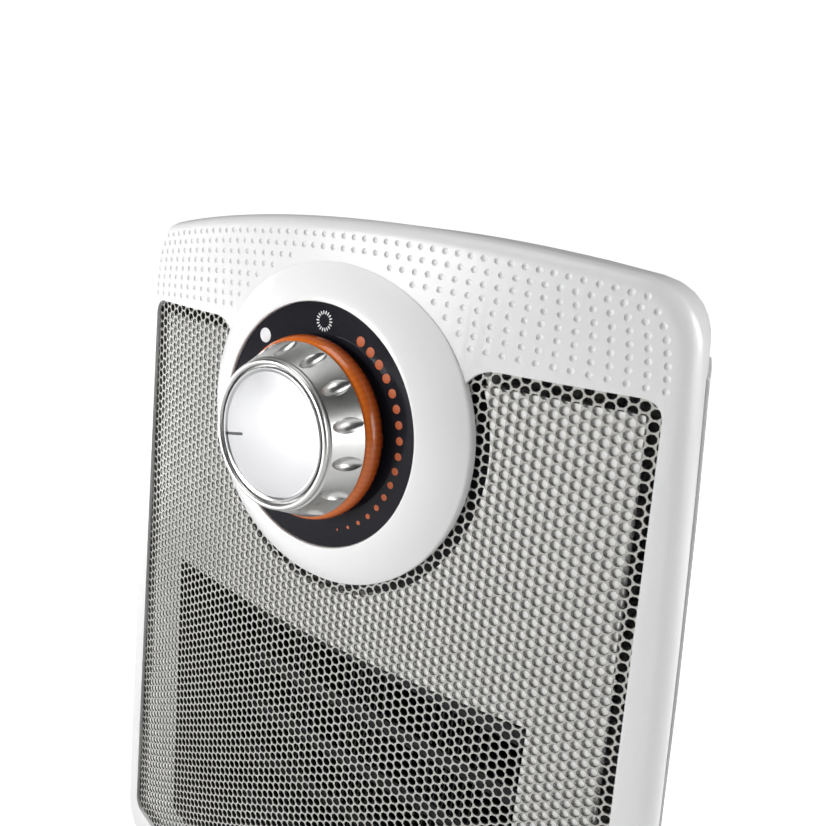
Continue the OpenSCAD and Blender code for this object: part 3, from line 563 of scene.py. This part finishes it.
def makeInnerFrame():
    radius = housing["bulgeRadius"] * mm
    depth = (grille["depth"] + grille["thickness"] + innerFrame["gap"]) * mm
    heaterLow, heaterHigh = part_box("heater_frame")
    middle = (heaterLow.z + heaterHigh.z) / 2 + innerFrame["rise"] * mm
    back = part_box("outlet_frame")[1].y
    plate = outlineSolid("innerFrame", windowOutline(-innerFrame["short"]), frontY,
                         frontY + innerFrame["thickness"] * mm)
    bulgePiece(plate, radius - depth, splitY)
    for vertex in plate.data.vertices:
        vertex.co.y += depth
    duct = outlineSolid("duct", openingOutline(innerFrame["ductWall"], middle),
                        frontY + depth + 0.2 * mm, back)
    bulgePiece(duct, radius - depth, back - tiny)
    cutWith(plate, duct, "UNION")
    opening = outlineSolid("opening", openingOutline(0, middle), frontY - 5 * mm, back + mm)
    cutWith(plate, opening)
    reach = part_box("dial_bezel")[1].x / mm + innerFrame["dialGap"]
    cutWith(plate, turned("aroundDial", [(0, -40), (reach, -40), (reach, 20), (0, 20)], 120))
    # a black collar behind the gap round the bezel is painted shade: it stands in for the shadow inside
    # that gap and keeps the inside out of sight
    inner = innerFrame["collarInner"]
    start = reach + innerFrame["collarStart"]
    end = reach + innerFrame["collarEnd"]
    top = -innerFrame["collarFront"]
    floor = -innerFrame["collarFloor"]
    low = -innerFrame["collarBack"]
    profile = [(inner, low), (end, low), (end, top), (start, top), (start, floor), (inner, floor)]
    cutWith(plate, turned("dialCollar", profile, 120), "UNION")
    # the duct's walls inside the opening and the collar are the second material; on the collar this
    # black is painted shade
    plate.data.materials.append(whiteFrame)
    plate.data.materials.append(blackPlastic)
    for face in plate.data.polygons:
        c = face.center
        inDuct = abs(c.x) < (innerFrame["width"] / 2 + 0.01) * mm
        inDuct = inDuct and abs(c.z - middle) < (innerFrame["height"] / 2 + 0.01) * mm
        inDuct = inDuct and abs(face.normal.y) < 0.5
        onCollar = (dialCentre - c).y < (floor + 0.1) * mm
        onCollar = onCollar and math.hypot(c.x, c.z - dialCentre.z) < (end + 0.1) * mm
        face.material_index = 1 if inDuct or onCollar else 0
    smoothByAngle(plate, 30)
    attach(plate, "housing")
    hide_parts("outlet_frame")


# White ring round the dial: a low cone with a fine lip, standing on the bulging front

bezel = {
    "lip": 0.8,  # height of the lip above the dial's face
    "lipRound": 0.45,
    "dialRoom": 0.15,  # between the dial plate and the lip
    "floor": 1.3,  # depth of the seat below the dial's face
    "fall": 5.6,  # drop from the lip to the rim
    "startSlope": 0.5,  # share of the drop that is straight; the rest curves
    "coneStart": 1.0,  # where the cone starts outside the lip's inner side
    "coneDrop": 0.08,  # and how far below the lip
    "reach": 43.9,  # outer radius
    "rimWidth": 0.75,  # of the small round at the cone's foot
    "rimRound": ((-0.42, -0.24), (-0.16, -0.5), (-0.03, -0.85), (0, -1.2)),  # its points, out and up
    "gap": 0.15,  # between the ring and the front behind it
    "bore": 5.5,
    "back": 14,  # depth from which the ring is trimmed to the front
    "trimSide": 60,  # half the side of the blocks that trim it
}


def makeBezel():
    inner = (dialHigh.x - dialLow.x) / 2 / mm + bezel["dialRoom"]
    lip = bezel["lip"]
    edge = bezel["reach"]
    bore = bezel["bore"]
    back = -bezel["back"]
    lipRound = bezel["lipRound"]
    profile = [(bore, back), (bore, -bezel["floor"]), (inner, -bezel["floor"]), (inner, lip - lipRound)]
    profile += arcPoints(inner + lipRound, lip - lipRound, lipRound, 170, 80, 5)
    start = inner + bezel["coneStart"]
    high = lip - bezel["coneDrop"]
    for i in range(13):
        t = i / 12
        fall = bezel["fall"] * (bezel["startSlope"] * t + (1 - bezel["startSlope"]) * t * t)
        profile.append((start + (edge - bezel["rimWidth"] - start) * t, high - fall))
    # the rim turns down in a small round
    profile += [(edge + out, high - bezel["fall"] + up) for out, up in bezel["rimRound"]]
    profile.append((edge, back))
    ring = turned("dialBezelRing", profile, 192)
    radius = housing["bulgeRadius"] * mm
    side = bezel["trimSide"] * mm
    top, bottom = dialCentre.z + side, dialCentre.z - side
    square = [(-side, bottom), (side, bottom), (side, top), (-side, top)]
    behind = outlineSolid("behindFront", square, frontY - bezel["gap"] * mm, splitY + 20 * mm)
    bulgePiece(behind, radius, splitY)
    cutWith(ring, behind)
    # inside the window the ring goes down to the sheet
    start = housing["islandRadius"] + 0.05
    outer = [(r - 0.01, h - 0.02) for r, h in profile if r > start + 0.4]
    foot = turned("bezelFoot", [(start, back), (start, outer[0][1])] + outer, 192)
    room = outlineSolid("windowRoom", windowOutline(-0.05), frontY - 5 * mm, splitY + mm)
    cutWith(foot, room, "INTERSECT")
    below = outlineSolid("behindSheet", square, frontY + (grille["depth"] - grille["seat"]) * mm,
                         splitY + 20 * mm)
    bulgePiece(below, radius, splitY)
    cutWith(foot, below)
    cutWith(ring, foot, "UNION")
    smoothByAngle(ring, 30)
    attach(ring, "housing")
    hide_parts("dial_bezel")
    return ring


# Knob: turned skirt with lens-shaped scallops, domed face with its pointer, amber ring

knob = {
    "height": 16.1,  # above the dial's face
    "rimRadius": 18.6,
    "rimRound": 0.75,
    "skirtRadius": 22.3,
    "skirtHeight": 6.3,  # of the skirt's lower edge
    "skirtRound": ((-0.3, 0), (-0.08, 0.08), (0, 0.3)),  # its points, out and up
    "rimStep": ((0.38, -1.75), (0.12, -1.62), (-0.02, -1.5), (0.06, -1.3)),
    "slopeTop": 0.8,  # drop from the rim to where the skirt's slope begins
    "seatTop": 1.1,  # drop from the rim to the upper edge and the floor of the face's seat
    "seatFloor": 2.2,
    "boreRadius": 18.2,  # of the hollow for the amber ring
    "boreDepth": 1.0,
    "hollowRadius": 15.5,
    "scallops": 14,
    "scallopLength": 5.6,  # half the lens's length and half its width
    "scallopWidth": 2.3,
    "scallopDepth": 0.95,
    "scallopDrop": 0.35,  # of the lens's middle below the skirt's
    "gripTurn": 184.5,  # degrees anticlockwise from three o'clock
    "faceRadius": 16.6,
    "faceDrop": 0.85,  # of the face's edge below the rim
    "faceCrown": 0.5,  # rise of the face's middle
    "faceEdge": 0.35,
    "faceBack": 2.0,  # drop from the rim to the face's back and to its rounded edge
    "faceSide": 0.7,
    "grooveWidth": 0.5,  # of the groove between face and rim
    "pointerTurn": 191.3,
    "pointerInner": 9.6,
    "pointerStop": 0.85,  # from the pointer's outer end to the face's edge
    "pointerWidth": 0.75,
    "pointerDepth": 0.5,
    "pointerFade": 0.8,  # share of the depth that is lost towards the edge
}


def aroundDial(piece, degrees):
    # turns a piece round the dial's axis, anticlockwise as the user sees it
    activate(piece)
    turn = Matrix.Rotation(math.radians(degrees), 4, Vector((0, -1, 0)))
    piece.data.transform(Matrix.Translation(dialCentre) @ turn @ Matrix.Translation(-dialCentre))


def makeKnobSkirt():
    top = knob["height"]
    rim = knob["rimRadius"]
    base = knob["skirtRadius"]
    low = knob["skirtHeight"]
    bore = knob["boreRadius"]
    hollow = knob["hollowRadius"]
    seat = knob["faceRadius"] + knob["grooveWidth"]
    edge = knob["rimRound"]
    floor = top - knob["seatFloor"]
    ceiling = low + knob["boreDepth"]
    profile = [(bore, low)] + [(base + out, low + up) for out, up in knob["skirtRound"]]
    profile += [(rim + out, top + up) for out, up in knob["rimStep"]]
    profile += arcPoints(rim - edge, top - edge, edge, 10, 170, 10)
    profile += [(seat, top - knob["seatTop"]), (seat, floor), (hollow, floor), (hollow, ceiling),
                (bore, ceiling)]
    skirt = turned("knobSkirt", profile, 168)
    length = knob["scallopLength"]
    width = knob["scallopWidth"]
    arc = (length * length + width * width) / (2 * width)
    points = []
    count = 16
    for i in range(count + 1):
        s = length * (2 * i / count - 1)
        points.append(((math.sqrt(arc * arc - s * s) - arc + width) * mm, 0, s * mm))
    lens = addRing("scallopLens", points)
    editAll(lens)
    bpy.ops.mesh.spin(steps=32, angle=2 * math.pi, center=(0, 0, 0), axis=(0, 0, 1))
    closeEdit()
    fixNormals(lens)
    high = top - knob["slopeTop"]
    slope = math.atan2(base - rim, high - low)
    middle = (top + low) / 2 - knob["scallopDrop"]
    surface = rim + (base - rim) * (high - middle) / (high - low)
    lenses = []
    # the lens stands along the skirt's slope; its axis leans outwards towards the dial
    toWorld = Matrix.Rotation(math.pi / 2, 4, "X")
    for i in range(knob["scallops"]):
        copy = addObject("scallopLens", lens.data.copy())
        turn = math.radians(knob["gripTurn"] + (i + 0.5) * 360 / knob["scallops"])
        place = Matrix.Translation(((surface + width - knob["scallopDepth"]) * mm, 0, middle * mm))
        copy.data.transform(Matrix.Rotation(turn, 4, "Z") @ place @ Matrix.Rotation(-slope, 4, "Y"))
        copy.data.transform(Matrix.Translation(dialCentre) @ toWorld)
        lenses.append(copy)
    bpy.data.objects.remove(lens)
    cutWith(skirt, joined(lenses, "scallops"))
    smoothByAngle(skirt, 28)
    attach(skirt, "knob")
    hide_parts("knob_body")
    return skirt


def makeKnobFace():
    top = knob["height"]
    r = knob["faceRadius"]

    def faceAt(radius):
        return top - knob["faceDrop"] + knob["faceCrown"] * (1 - (radius / r) ** 2)
    crown = [(r * i / 14, faceAt(r * i / 14)) for i in range(14, -1, -1)]
    back = top - knob["faceBack"]
    side = top - knob["faceSide"]
    profile = [(0, back), (r, back), (r, side)]
    profile += arcPoints(r - knob["faceEdge"], side, knob["faceEdge"], 0, 100, 5)[1:]
    profile += [(x, z) for x, z in crown if x < r - 0.6]
    face = turned("knobFace", profile, 144)
    # the pointer is a shallow groove with a rounded inner end
    inner = knob["pointerInner"]
    half = knob["pointerWidth"] / 2
    groove = [(r + 1, -half), (inner + half, -half)]
    for a in (0.5, 1.05, 1.57, 2.1, 2.64):
        groove.append((inner + half - half * math.sin(a), -half * math.cos(a)))
    groove += [(inner + half, half), (r + 1, half)]
    outer = r - knob["pointerStop"]
    groove = [(dialCentre.x + min(x, outer) * mm, dialCentre.z + z * mm) for x, z in groove]
    cutter = outlineSolid("pointerGroove", groove, dialCentre.y - (top + 1) * mm,
                          dialCentre.y - (top - 1) * mm)
    for vertex in cutter.data.vertices:
        if vertex.co.y > dialCentre.y - top * mm:
            reach = (vertex.co.x - dialCentre.x) / mm
            fade = 1 - knob["pointerFade"] * (reach - inner) / (outer - inner)
            floor = faceAt(reach) - knob["pointerDepth"] * fade
            vertex.co.y = dialCentre.y - floor * mm
    aroundDial(cutter, knob["pointerTurn"])
    cutWith(face, cutter)
    # the groove gets a dark material: painted shade that stands in for the shadow in the groove
    finish(face, knobSpun)
    face.data.materials.append(pointerPaintedShade)
    for polygon in face.data.polygons:
        c = polygon.center
        reach = math.hypot(c.x - dialCentre.x, c.z - dialCentre.z) / mm
        height = (dialCentre.y - c.y) / mm
        inGroove = reach < outer and back + 0.1 < height < faceAt(reach) - 0.04
        polygon.material_index = 1 if inGroove else 0
    smoothByAngle(face, 30)
    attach(face, "knob")
    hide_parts("knob_cap")


amber = {
    "radius": 23.8,
    "inner": 18.1,
    "low": 0.4,  # heights above the dial's face
    "high": 6.2,
    "bellyShare": 0.42,  # where between them the ring is widest
    "round": 2.2,
    "lowTurn": 62,  # degrees that the outside curves below and above its widest place
    "highTurn": 76,
    "tabInset": 1.05,
    "tabRise": 0.1,
    "tabSize": (2.0, 3.1, 3.4),
    "tabRound": 0.25,
    "shadeHeight": 6.3,  # the colour runs from the dial up to this height, from painted shade to painted light
    "paintedLightShades": ((0.0, (0.03, 0.008, 0.003)), (0.3, (0.13, 0.024, 0.006)), (0.5, (0.34, 0.062, 0.010)),
               (0.75, (0.56, 0.115, 0.015)), (1.0, (0.78, 0.18, 0.022))),
    "ribs": 90,
    "ribShade": 0.03,
}


def makeAmberRing():
    belly = (amber["low"] + amber["high"]) * amber["bellyShare"]
    below = amber["lowTurn"]
    above = amber["highTurn"]
    profile = [(amber["inner"], amber["low"])]
    for i in range(19):
        angle = math.radians(-below + (below + above) * i / 18)
        half = belly - amber["low"] if angle < 0 else amber["high"] - belly
        reach = math.sin(math.radians(below if angle < 0 else above))
        out = amber["radius"] - amber["round"] + amber["round"] * math.cos(angle)
        profile.append((out, belly + half / reach * math.sin(angle)))
    profile.append((amber["inner"], amber["high"]))
    ring = turned("amberRing", profile, 180)
    bpy.ops.mesh.primitive_cube_add(size=1)
    tab = justAdded("amberTab")
    out, high, wide = amber["tabSize"]
    for vertex in tab.data.vertices:
        c = vertex.co
        vertex.co = (dialCentre.x + (amber["radius"] - amber["tabInset"] + c.x * out) * mm,
                     dialCentre.y - (belly + amber["tabRise"] + c.y * high) * mm,
                     dialCentre.z + c.z * wide * mm)
    fixNormals(tab)
    applyModifier(tab, "BEVEL", width=amber["tabRound"] * mm, segments=3, limit_method="ANGLE")
    aroundDial(tab, knob["gripTurn"] + 180)
    cutWith(ring, tab, "UNION")
    smoothByAngle(ring, 35)
    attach(ring, "knob")
    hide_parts("amber_ring")
    return ring


# Printed marks on the dial plate

marks = {
    "paint": 0.03,  # thickness of the print
    "paintRound": 0.01,
    "dots": 17,
    "dotRadius": 27.4,  # distances from the dial's centre
    "firstTurn": 28.4,  # degrees clockwise from twelve o'clock
    "turnStep": 8.06,
    "firstSize": 2.6,
    "shrink": 0.031,  # share that each dot loses, and what is added to it for the last dots
    "lateShrink": 0.008,
    "lateFrom": 10,
    "sunTurn": 1.9,
    "sunRadius": 27.4,
    "sunRays": 18,
    "sunInner": 1.65,
    "sunOuter": 2.7,
    "rayWidth": 0.38,
    "discTurn": -43.2,
    "discRadius": 28.4,
    "discSize": 3.9,
}


def dialPoint(radius, clockTurn, height):
    turn = math.radians(clockTurn)
    reach = radius * mm
    return dialCentre + Vector((reach * math.sin(turn), -height * mm, reach * math.cos(turn)))


def paintDisc(name, centre, size, corners=28):
    bpy.ops.mesh.primitive_cylinder_add(vertices=corners, radius=size / 2 * mm,
                                        depth=marks["paint"] * mm, location=centre,
                                        rotation=(math.pi / 2, 0, 0))
    disc = bakePlace(justAdded(name))
    applyModifier(disc, "BEVEL", width=marks["paintRound"] * mm, segments=2, limit_method="ANGLE")
    return disc


def makeMarks():
    height = marks["paint"] / 2
    dots = []
    for i in range(marks["dots"]):
        late = max(0, i - marks["lateFrom"])
        size = marks["firstSize"] * (1 - marks["shrink"] * i - marks["lateShrink"] * late ** 2)
        place = dialPoint(marks["dotRadius"], marks["firstTurn"] + marks["turnStep"] * i, height)
        dots.append(paintDisc("heatDot", place, size))
    dots = joined(dots, "heatDots")
    sun = dialPoint(marks["sunRadius"], marks["sunTurn"], height)
    rays = []
    for i in range(marks["sunRays"]):
        bpy.ops.mesh.primitive_cylinder_add(vertices=10, radius=0.5, depth=1)
        ray = justAdded("sunRay")
        long = (marks["sunOuter"] - marks["sunInner"]) * mm
        turn = Matrix.Rotation(2 * math.pi * i / marks["sunRays"], 4, (0, 1, 0))
        shift = Matrix.Translation(((marks["sunInner"] + marks["sunOuter"]) / 2 * mm, 0, 0))
        size = Matrix.Diagonal((long, marks["paint"] * mm, marks["rayWidth"] * mm, 1))
        lay = Matrix.Rotation(math.pi / 2, 4, "X")
        ray.data.transform(Matrix.Translation(sun) @ turn @ shift @ size @ lay)
        rays.append(ray)
    rays = joined(rays, "sunMark")
    place = dialPoint(marks["discRadius"], marks["discTurn"], height)
    disc = paintDisc("offMark", place, marks["discSize"], 40)
    for piece in (dots, rays, disc):
        smoothByAngle(piece, 30)
        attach(piece, "housing")
    return dots, rays, disc


# Materials

def addNode(tree, kind, **settings):
    node = tree.nodes.new(kind)
    for key, value in settings.items():
        if key in node.inputs:
            node.inputs[key].default_value = value
        else:
            setattr(node, key, value)
    return node


def addMath(tree, operation, second=None):
    node = addNode(tree, "ShaderNodeMath", operation=operation)
    if second is not None:
        node.inputs[1].default_value = second
    return node


def addRange(tree, fromMin, fromMax, toMin, toMax, **settings):
    node = addNode(tree, "ShaderNodeMapRange", **settings)
    for i, value in enumerate((fromMin, fromMax, toMin, toMax)):
        node.inputs[i + 1].default_value = value
    return node


def linker(tree):
    # links a node's output to another's input, each by its name or number
    def link(source, output, target, entry):
        tree.links.new(source.outputs[output], target.inputs[entry])
    return link


def makeGrainGroup():
    # fine moulded or cast surface: tone for colour and roughness, height for the bump
    group = bpy.data.node_groups.new("surfaceGrain", "ShaderNodeTree")
    for name, kind in (("Vector", "NodeSocketVector"), ("Fine Scale", "NodeSocketFloat"),
                       ("Broad Scale", "NodeSocketFloat")):
        group.interface.new_socket(name=name, in_out="INPUT", socket_type=kind)
    for name in ("Tone", "Height"):
        group.interface.new_socket(name=name, in_out="OUTPUT", socket_type="NodeSocketFloat")
    start = group.nodes.new("NodeGroupInput")
    end = group.nodes.new("NodeGroupOutput")
    fine = addNode(group, "ShaderNodeTexNoise", Detail=3.0, Roughness=0.6)
    broad = addNode(group, "ShaderNodeTexNoise", Detail=2.0, Roughness=0.5)
    mix = addMath(group, "MULTIPLY_ADD", 0.5)
    half = addMath(group, "MULTIPLY", 0.5)
    link = linker(group)
    link(start, "Vector", fine, "Vector")
    link(start, "Vector", broad, "Vector")
    link(start, "Fine Scale", fine, "Scale")
    link(start, "Broad Scale", broad, "Scale")
    link(broad, "Fac", half, 0)
    link(fine, "Fac", mix, 0)
    link(half, 0, mix, 2)
    link(mix, 0, end, "Tone")
    link(fine, "Fac", end, "Height")
    return group


grainGroup = makeGrainGroup()


def newFinish(name, dark, light, rough, fineScale, broadScale, bump, **shader):
    # colour and roughness drift between two values over the surface, with a fine bump
    material = bpy.data.materials.new(name)
    material.use_nodes = True
    tree = material.node_tree
    tree.nodes.clear()
    output = addNode(tree, "ShaderNodeOutputMaterial")
    principled = addNode(tree, "ShaderNodeBsdfPrincipled", **shader)
    place = addNode(tree, "ShaderNodeTexCoord")
    grain = addNode(tree, "ShaderNodeGroup", node_tree=grainGroup)
    grain.inputs["Fine Scale"].default_value = fineScale
    grain.inputs["Broad Scale"].default_value = broadScale
    colour = addNode(tree, "ShaderNodeValToRGB")
    colour.color_ramp.elements[0].position = 0.3
    colour.color_ramp.elements[1].position = 0.7
    colour.color_ramp.elements[0].color = (*dark, 1)
    colour.color_ramp.elements[1].color = (*light, 1)
    spread = addRange(tree, 0.3, 0.7, *rough)
    raised = addNode(tree, "ShaderNodeBump", Distance=0.00005, Strength=bump)
    link = linker(tree)
    link(place, "Object", grain, "Vector")
    link(grain, "Tone", colour, "Fac")
    link(grain, "Tone", spread, "Value")
    link(grain, "Height", raised, "Height")
    link(colour, "Color", principled, "Base Color")
    link(spread, "Result", principled, "Roughness")
    link(raised, "Normal", principled, "Normal")
    link(principled, "BSDF", output, "Surface")
    return material


def finish(piece, material):
    piece.data.materials.clear()
    piece.data.materials.append(material)


def amberMaterial():
    # clear amber moulding, dark towards the dial and bright towards the knob's skirt: painted shade and
    # painted light that stand in for light through the amber; the fine ribs are painted as stripes of
    # shade
    material = newFinish("amberMoulding", (0.5, 0.12, 0.02), (0.8, 0.3, 0.05), (0.14, 0.24),
                         900, 90, 0.2)
    tree = material.node_tree
    principled = tree.nodes["Principled BSDF"]
    principled.inputs["Coat Weight"].default_value = 0.15
    principled.inputs["IOR"].default_value = 1.5
    place = addNode(tree, "ShaderNodeTexCoord")
    centred = addNode(tree, "ShaderNodeMapping")
    centred.inputs["Location"].default_value = -dialCentre
    split = addNode(tree, "ShaderNodeSeparateXYZ")
    height = addRange(tree, -amber["shadeHeight"] * mm, 0, 1, 0)
    turn = addMath(tree, "ARCTAN2")
    many = addMath(tree, "MULTIPLY", amber["ribs"])
    ribs = addMath(tree, "SINE")
    ramp = addNode(tree, "ShaderNodeValToRGB")
    stops = ramp.color_ramp.elements
    for position, colour in amber["paintedLightShades"][1:-1]:
        stops.new(position)
    for stop, (position, colour) in zip(stops, amber["paintedLightShades"]):
        stop.color = (*colour, 1)
    shade = addMath(tree, "MULTIPLY_ADD", amber["ribShade"])
    link = linker(tree)
    link(place, "Object", centred, "Vector")
    link(centred, "Vector", split, "Vector")
    link(split, "Y", height, "Value")
    link(split, "Z", turn, 0)
    link(split, "X", turn, 1)
    link(turn, 0, many, 0)
    link(many, 0, ribs, 0)
    link(ribs, 0, shade, 0)
    link(height, "Result", shade, 2)
    link(shade, 0, ramp, "Fac")
    link(ramp, "Color", principled, "Base Color")
    return material


def smoothNode(name):
    # loose triangles, welded and split at the sharp edges to shade smoothly
    node = nodes[name]
    for face in node.data.polygons:
        face.use_smooth = True
    weld = node.modifiers.new("weld", "WELD")
    weld.merge_threshold = tiny
    split = node.modifiers.new("sharpEdges", "EDGE_SPLIT")
    split.split_angle = math.radians(28)
    split.use_edge_sharp = False


whitePlastic = newFinish("whiteMoulding", (0.69, 0.69, 0.69), (0.72, 0.72, 0.72), (0.3, 0.38),
                         2600, 30, 0.12)
whiteGloss = newFinish("whiteGlossRing", (0.83, 0.83, 0.83), (0.85, 0.85, 0.85), (0.2, 0.24),
                       4000, 14, 0.01)
whiteFrame = newFinish("whiteInnerFrame", (0.9, 0.9, 0.88), (0.94, 0.94, 0.92), (0.5, 0.6),
                       1500, 40, 0.2)
grilleMetal = newFinish("grilleEnamel", (0.41, 0.405, 0.38), (0.47, 0.465, 0.44), (0.24, 0.3),
                        3000, 60, 0.25)
# dark back and hole walls of the sheet: painted shade for the shadow inside the holes
grilleShadeBack = newFinish("grillePaintedShadeBack", (0.1, 0.1, 0.09), (0.15, 0.15, 0.14), (0.4, 0.5),
                       3000, 60, 0.25, Metallic=0.3)
dialBlack = newFinish("dialGloss", (0.01, 0.01, 0.014), (0.014, 0.014, 0.019), (0.08, 0.14),
                      600, 30, 0.02)
dialBlack.node_tree.nodes["Principled BSDF"].inputs["Specular IOR Level"].default_value = 0.09
knobSatin = newFinish("knobSatin", (0.62, 0.62, 0.61), (0.69, 0.69, 0.68), (0.26, 0.34),
                      6000, 120, 0.25, Metallic=1.0)
knobSpun = newFinish("knobFaceSatin", (0.45, 0.45, 0.46), (0.49, 0.49, 0.5), (0.2, 0.24),
                     7000, 100, 0.2, Metallic=1.0)
# dark fill of the pointer's groove: painted shade
pointerPaintedShade = newFinish("pointerPaintedShade", (0.05, 0.05, 0.052), (0.08, 0.08, 0.082), (0.4, 0.5),
                         3000, 50, 0.1)
blackPlastic = newFinish("blackMoulding", (0.022, 0.022, 0.024), (0.034, 0.034, 0.037),
                         (0.45, 0.6), 1800, 50, 0.3)
rubberBlack = newFinish("footRubber", (0.02, 0.02, 0.02), (0.03, 0.03, 0.03), (0.7, 0.85),
                        1400, 60, 0.4)
# near-black, though the fins are aluminium: painted shade for the deep inside of the warm-air opening
barMetal = newFinish("heaterFinMetal", (0.03, 0.03, 0.031), (0.055, 0.055, 0.058), (0.35, 0.5),
                     2500, 60, 0.2, Metallic=0.7)
brassMetal = newFinish("brass", (0.62, 0.45, 0.18), (0.74, 0.56, 0.26), (0.25, 0.4),
                       2000, 60, 0.2, Metallic=1.0)
zincSteel = newFinish("zincSteel", (0.42, 0.42, 0.44), (0.55, 0.55, 0.57), (0.28, 0.42),
                      2200, 70, 0.2, Metallic=1.0)
brightSteel = newFinish("brightSteel", (0.62, 0.62, 0.64), (0.74, 0.74, 0.76), (0.2, 0.32),
                        2200, 70, 0.15, Metallic=1.0)
creamPlastic = newFinish("creamThermoset", (0.62, 0.56, 0.44), (0.72, 0.66, 0.54), (0.4, 0.5),
                         1800, 50, 0.25)
orangePaint = newFinish("orangePrint", (0.46, 0.085, 0.012), (0.52, 0.105, 0.018), (0.5, 0.6),
                        4000, 90, 0.15)
whitePaint = newFinish("whitePrint", (0.62, 0.62, 0.64), (0.74, 0.74, 0.76), (0.3, 0.4),
                       4000, 90, 0.15)

panel = makePanel()
print("panel done")
makeGrille()
makeInnerFrame()
print("grille done")
bezelRing = makeBezel()
print("bezel done")
skirt = makeKnobSkirt()
makeKnobFace()
ring = makeAmberRing()
print("knob done")
dots, rays, disc = makeMarks()
print("marks done")

finish(panel, whitePlastic)
finish(bezelRing, whiteGloss)
finish(skirt, knobSatin)
finish(ring, amberMaterial())
finish(dots, orangePaint)
finish(rays, whitePaint)
finish(disc, whitePaint)
# the solids that are carried over, by their finish
nodeFinishes = (
    (dialBlack, ("dial_plate",)),
    (whitePlastic, ("rear_shell", "rear_grille")),
    (whiteFrame, ("base_plate",)),
    (rubberBlack, ("rubber_feet",)),
    (blackPlastic, ("heater_frame", "thermal_cutout", "fan_shroud", "tilt_switch", "cord_gland",
                    "fan_impeller")),
    (barMetal, ("ptc_bars", "ptc_fins")),
    (brassMetal, ("heater_terminals", "motor_bearings")),
    (zincSteel, ("motor_can", "motor_stator", "motor_rotor", "impeller_clip")),
    (creamPlastic, ("thermostat", "terminal_block")),
    (brightSteel, ("thermostat_nut", "housing_screws", "shroud_screws", "motor_screws",
                   "thermostat_shaft", "motor_shaft")),
)
for material, names in nodeFinishes:
    for name in names:
        if name in nodes:
            smoothNode(name)
            finish(nodes[name], material)
print("materials done")

# Studio: pale floor, soft lights, camera

studio = {
    "floorSize": 60.0,
    "floorZ": -0.0005,
    "nearGlow": 0.72,  # the floor's own glow near the heater and far from it
    "farGlow": 1.05,
    "glowFrom": 0.2,  # distances between which it changes
    "glowTo": 1.6,
    "backdrop": 1.05,
    "world": 0.04,
    "aimZ": 0.15,  # height that the lights point at
    # azimuth left of the front, elevation, distance, size and power of each soft light
    "lights": {
        "frontKey": (28, 8, 1.3, 0.4, 11.2),
        "faceCard": (37, -10, 0.45, 0.24, 0.135),
        "lowLeft": (76, -12, 0.5, 0.25, 0.6),
        "leftSide": (70, 8, 1.3, 0.4, 1.3),
        "leftEdge": (95, 10, 1.3, 0.5, 1.2),
        "rightSide": (-98, 10, 1.3, 0.6, 4.5),
        "rightBack": (-120, 20, 1.3, 0.6, 12.0),
        "above": (20, 75, 1.2, 0.7, 4.8),
    },
}


def makeFloor():
    bpy.ops.mesh.primitive_plane_add(size=studio["floorSize"], location=(0, 0, studio["floorZ"]))
    floor = bakePlace(justAdded("studioFloor"))
    paper = newFinish("floorPaper", (0.9, 0.9, 0.9), (0.92, 0.92, 0.92), (0.8, 0.9),
                      60, 3, 0.05)
    tree = paper.node_tree
    shine = tree.nodes["Principled BSDF"]
    place = tree.nodes["Texture Coordinate"]
    away = addNode(tree, "ShaderNodeVectorMath", operation="LENGTH")
    spread = addRange(tree, studio["glowFrom"], studio["glowTo"], studio["nearGlow"], studio["farGlow"],
                      interpolation_type="SMOOTHSTEP")
    seen = addNode(tree, "ShaderNodeLightPath")
    glow = addMath(tree, "MULTIPLY")
    link = linker(tree)
    link(place, "Object", away, 0)
    link(away, "Value", spread, "Value")
    link(spread, "Result", glow, 0)
    link(seen, "Is Camera Ray", glow, 1)
    link(glow, 0, shine, "Emission Strength")
    shine.inputs["Emission Color"].default_value = (1, 1, 1, 1)
    finish(floor, paper)


def softLight(name, azimuth, elevation, distance, size, power):
    aim = Vector((0, 0, studio["aimZ"]))
    turn = math.radians(azimuth)
    rise = math.radians(elevation)
    way = Vector((-math.sin(turn) * math.cos(rise), -math.cos(turn) * math.cos(rise), math.sin(rise)))
    lamp = bpy.data.lights.new(name, "AREA")
    lamp.shape = "SQUARE"
    lamp.size = size
    lamp.energy = power
    light = addObject(name, lamp)
    light.location = aim + way * distance
    light.rotation_mode = "QUATERNION"
    light.rotation_quaternion = (-way).to_track_quat("-Z", "Y")
    light.visible_camera = False


def makeWorld():
    # white to the camera, dim to everything else
    world = bpy.data.worlds.new("studioWorld")
    bpy.context.scene.world = world
    world.use_nodes = True
    tree = world.node_tree
    tree.nodes.clear()
    output = addNode(tree, "ShaderNodeOutputWorld")
    back = addNode(tree, "ShaderNodeBackground", Strength=studio["backdrop"])
    fill = addNode(tree, "ShaderNodeBackground", Strength=studio["world"])
    back.inputs["Color"].default_value = (1, 1, 1, 1)
    fill.inputs["Color"].default_value = (0.98, 0.99, 1, 1)
    seen = addNode(tree, "ShaderNodeLightPath")
    mix = addNode(tree, "ShaderNodeMixShader")
    link = linker(tree)
    link(seen, "Is Camera Ray", mix, "Fac")
    link(fill, 0, mix, 1)
    link(back, 0, mix, 2)
    link(mix, 0, output, "Surface")


camera = {
    "lens": 32.72,
    "place": (0.12628, -0.19086, 0.24951),
    "turn": (76.922, -5.751, 35.567),  # degrees
}


def makeCamera():
    lens = bpy.data.cameras.new("photoCamera")
    lens.lens = camera["lens"]
    lens.sensor_width = 36
    lens.clip_start = 0.01
    view = addObject("photoCamera", lens)
    view.location = camera["place"]
    view.rotation_euler = [math.radians(a) for a in camera["turn"]]
    bpy.context.scene.camera = view
    bpy.context.scene.view_settings.view_transform = "Standard"


makeFloor()
makeWorld()
for name, values in studio["lights"].items():
    softLight(name, *values)
makeCamera()
deselectAll()
print("studio done")
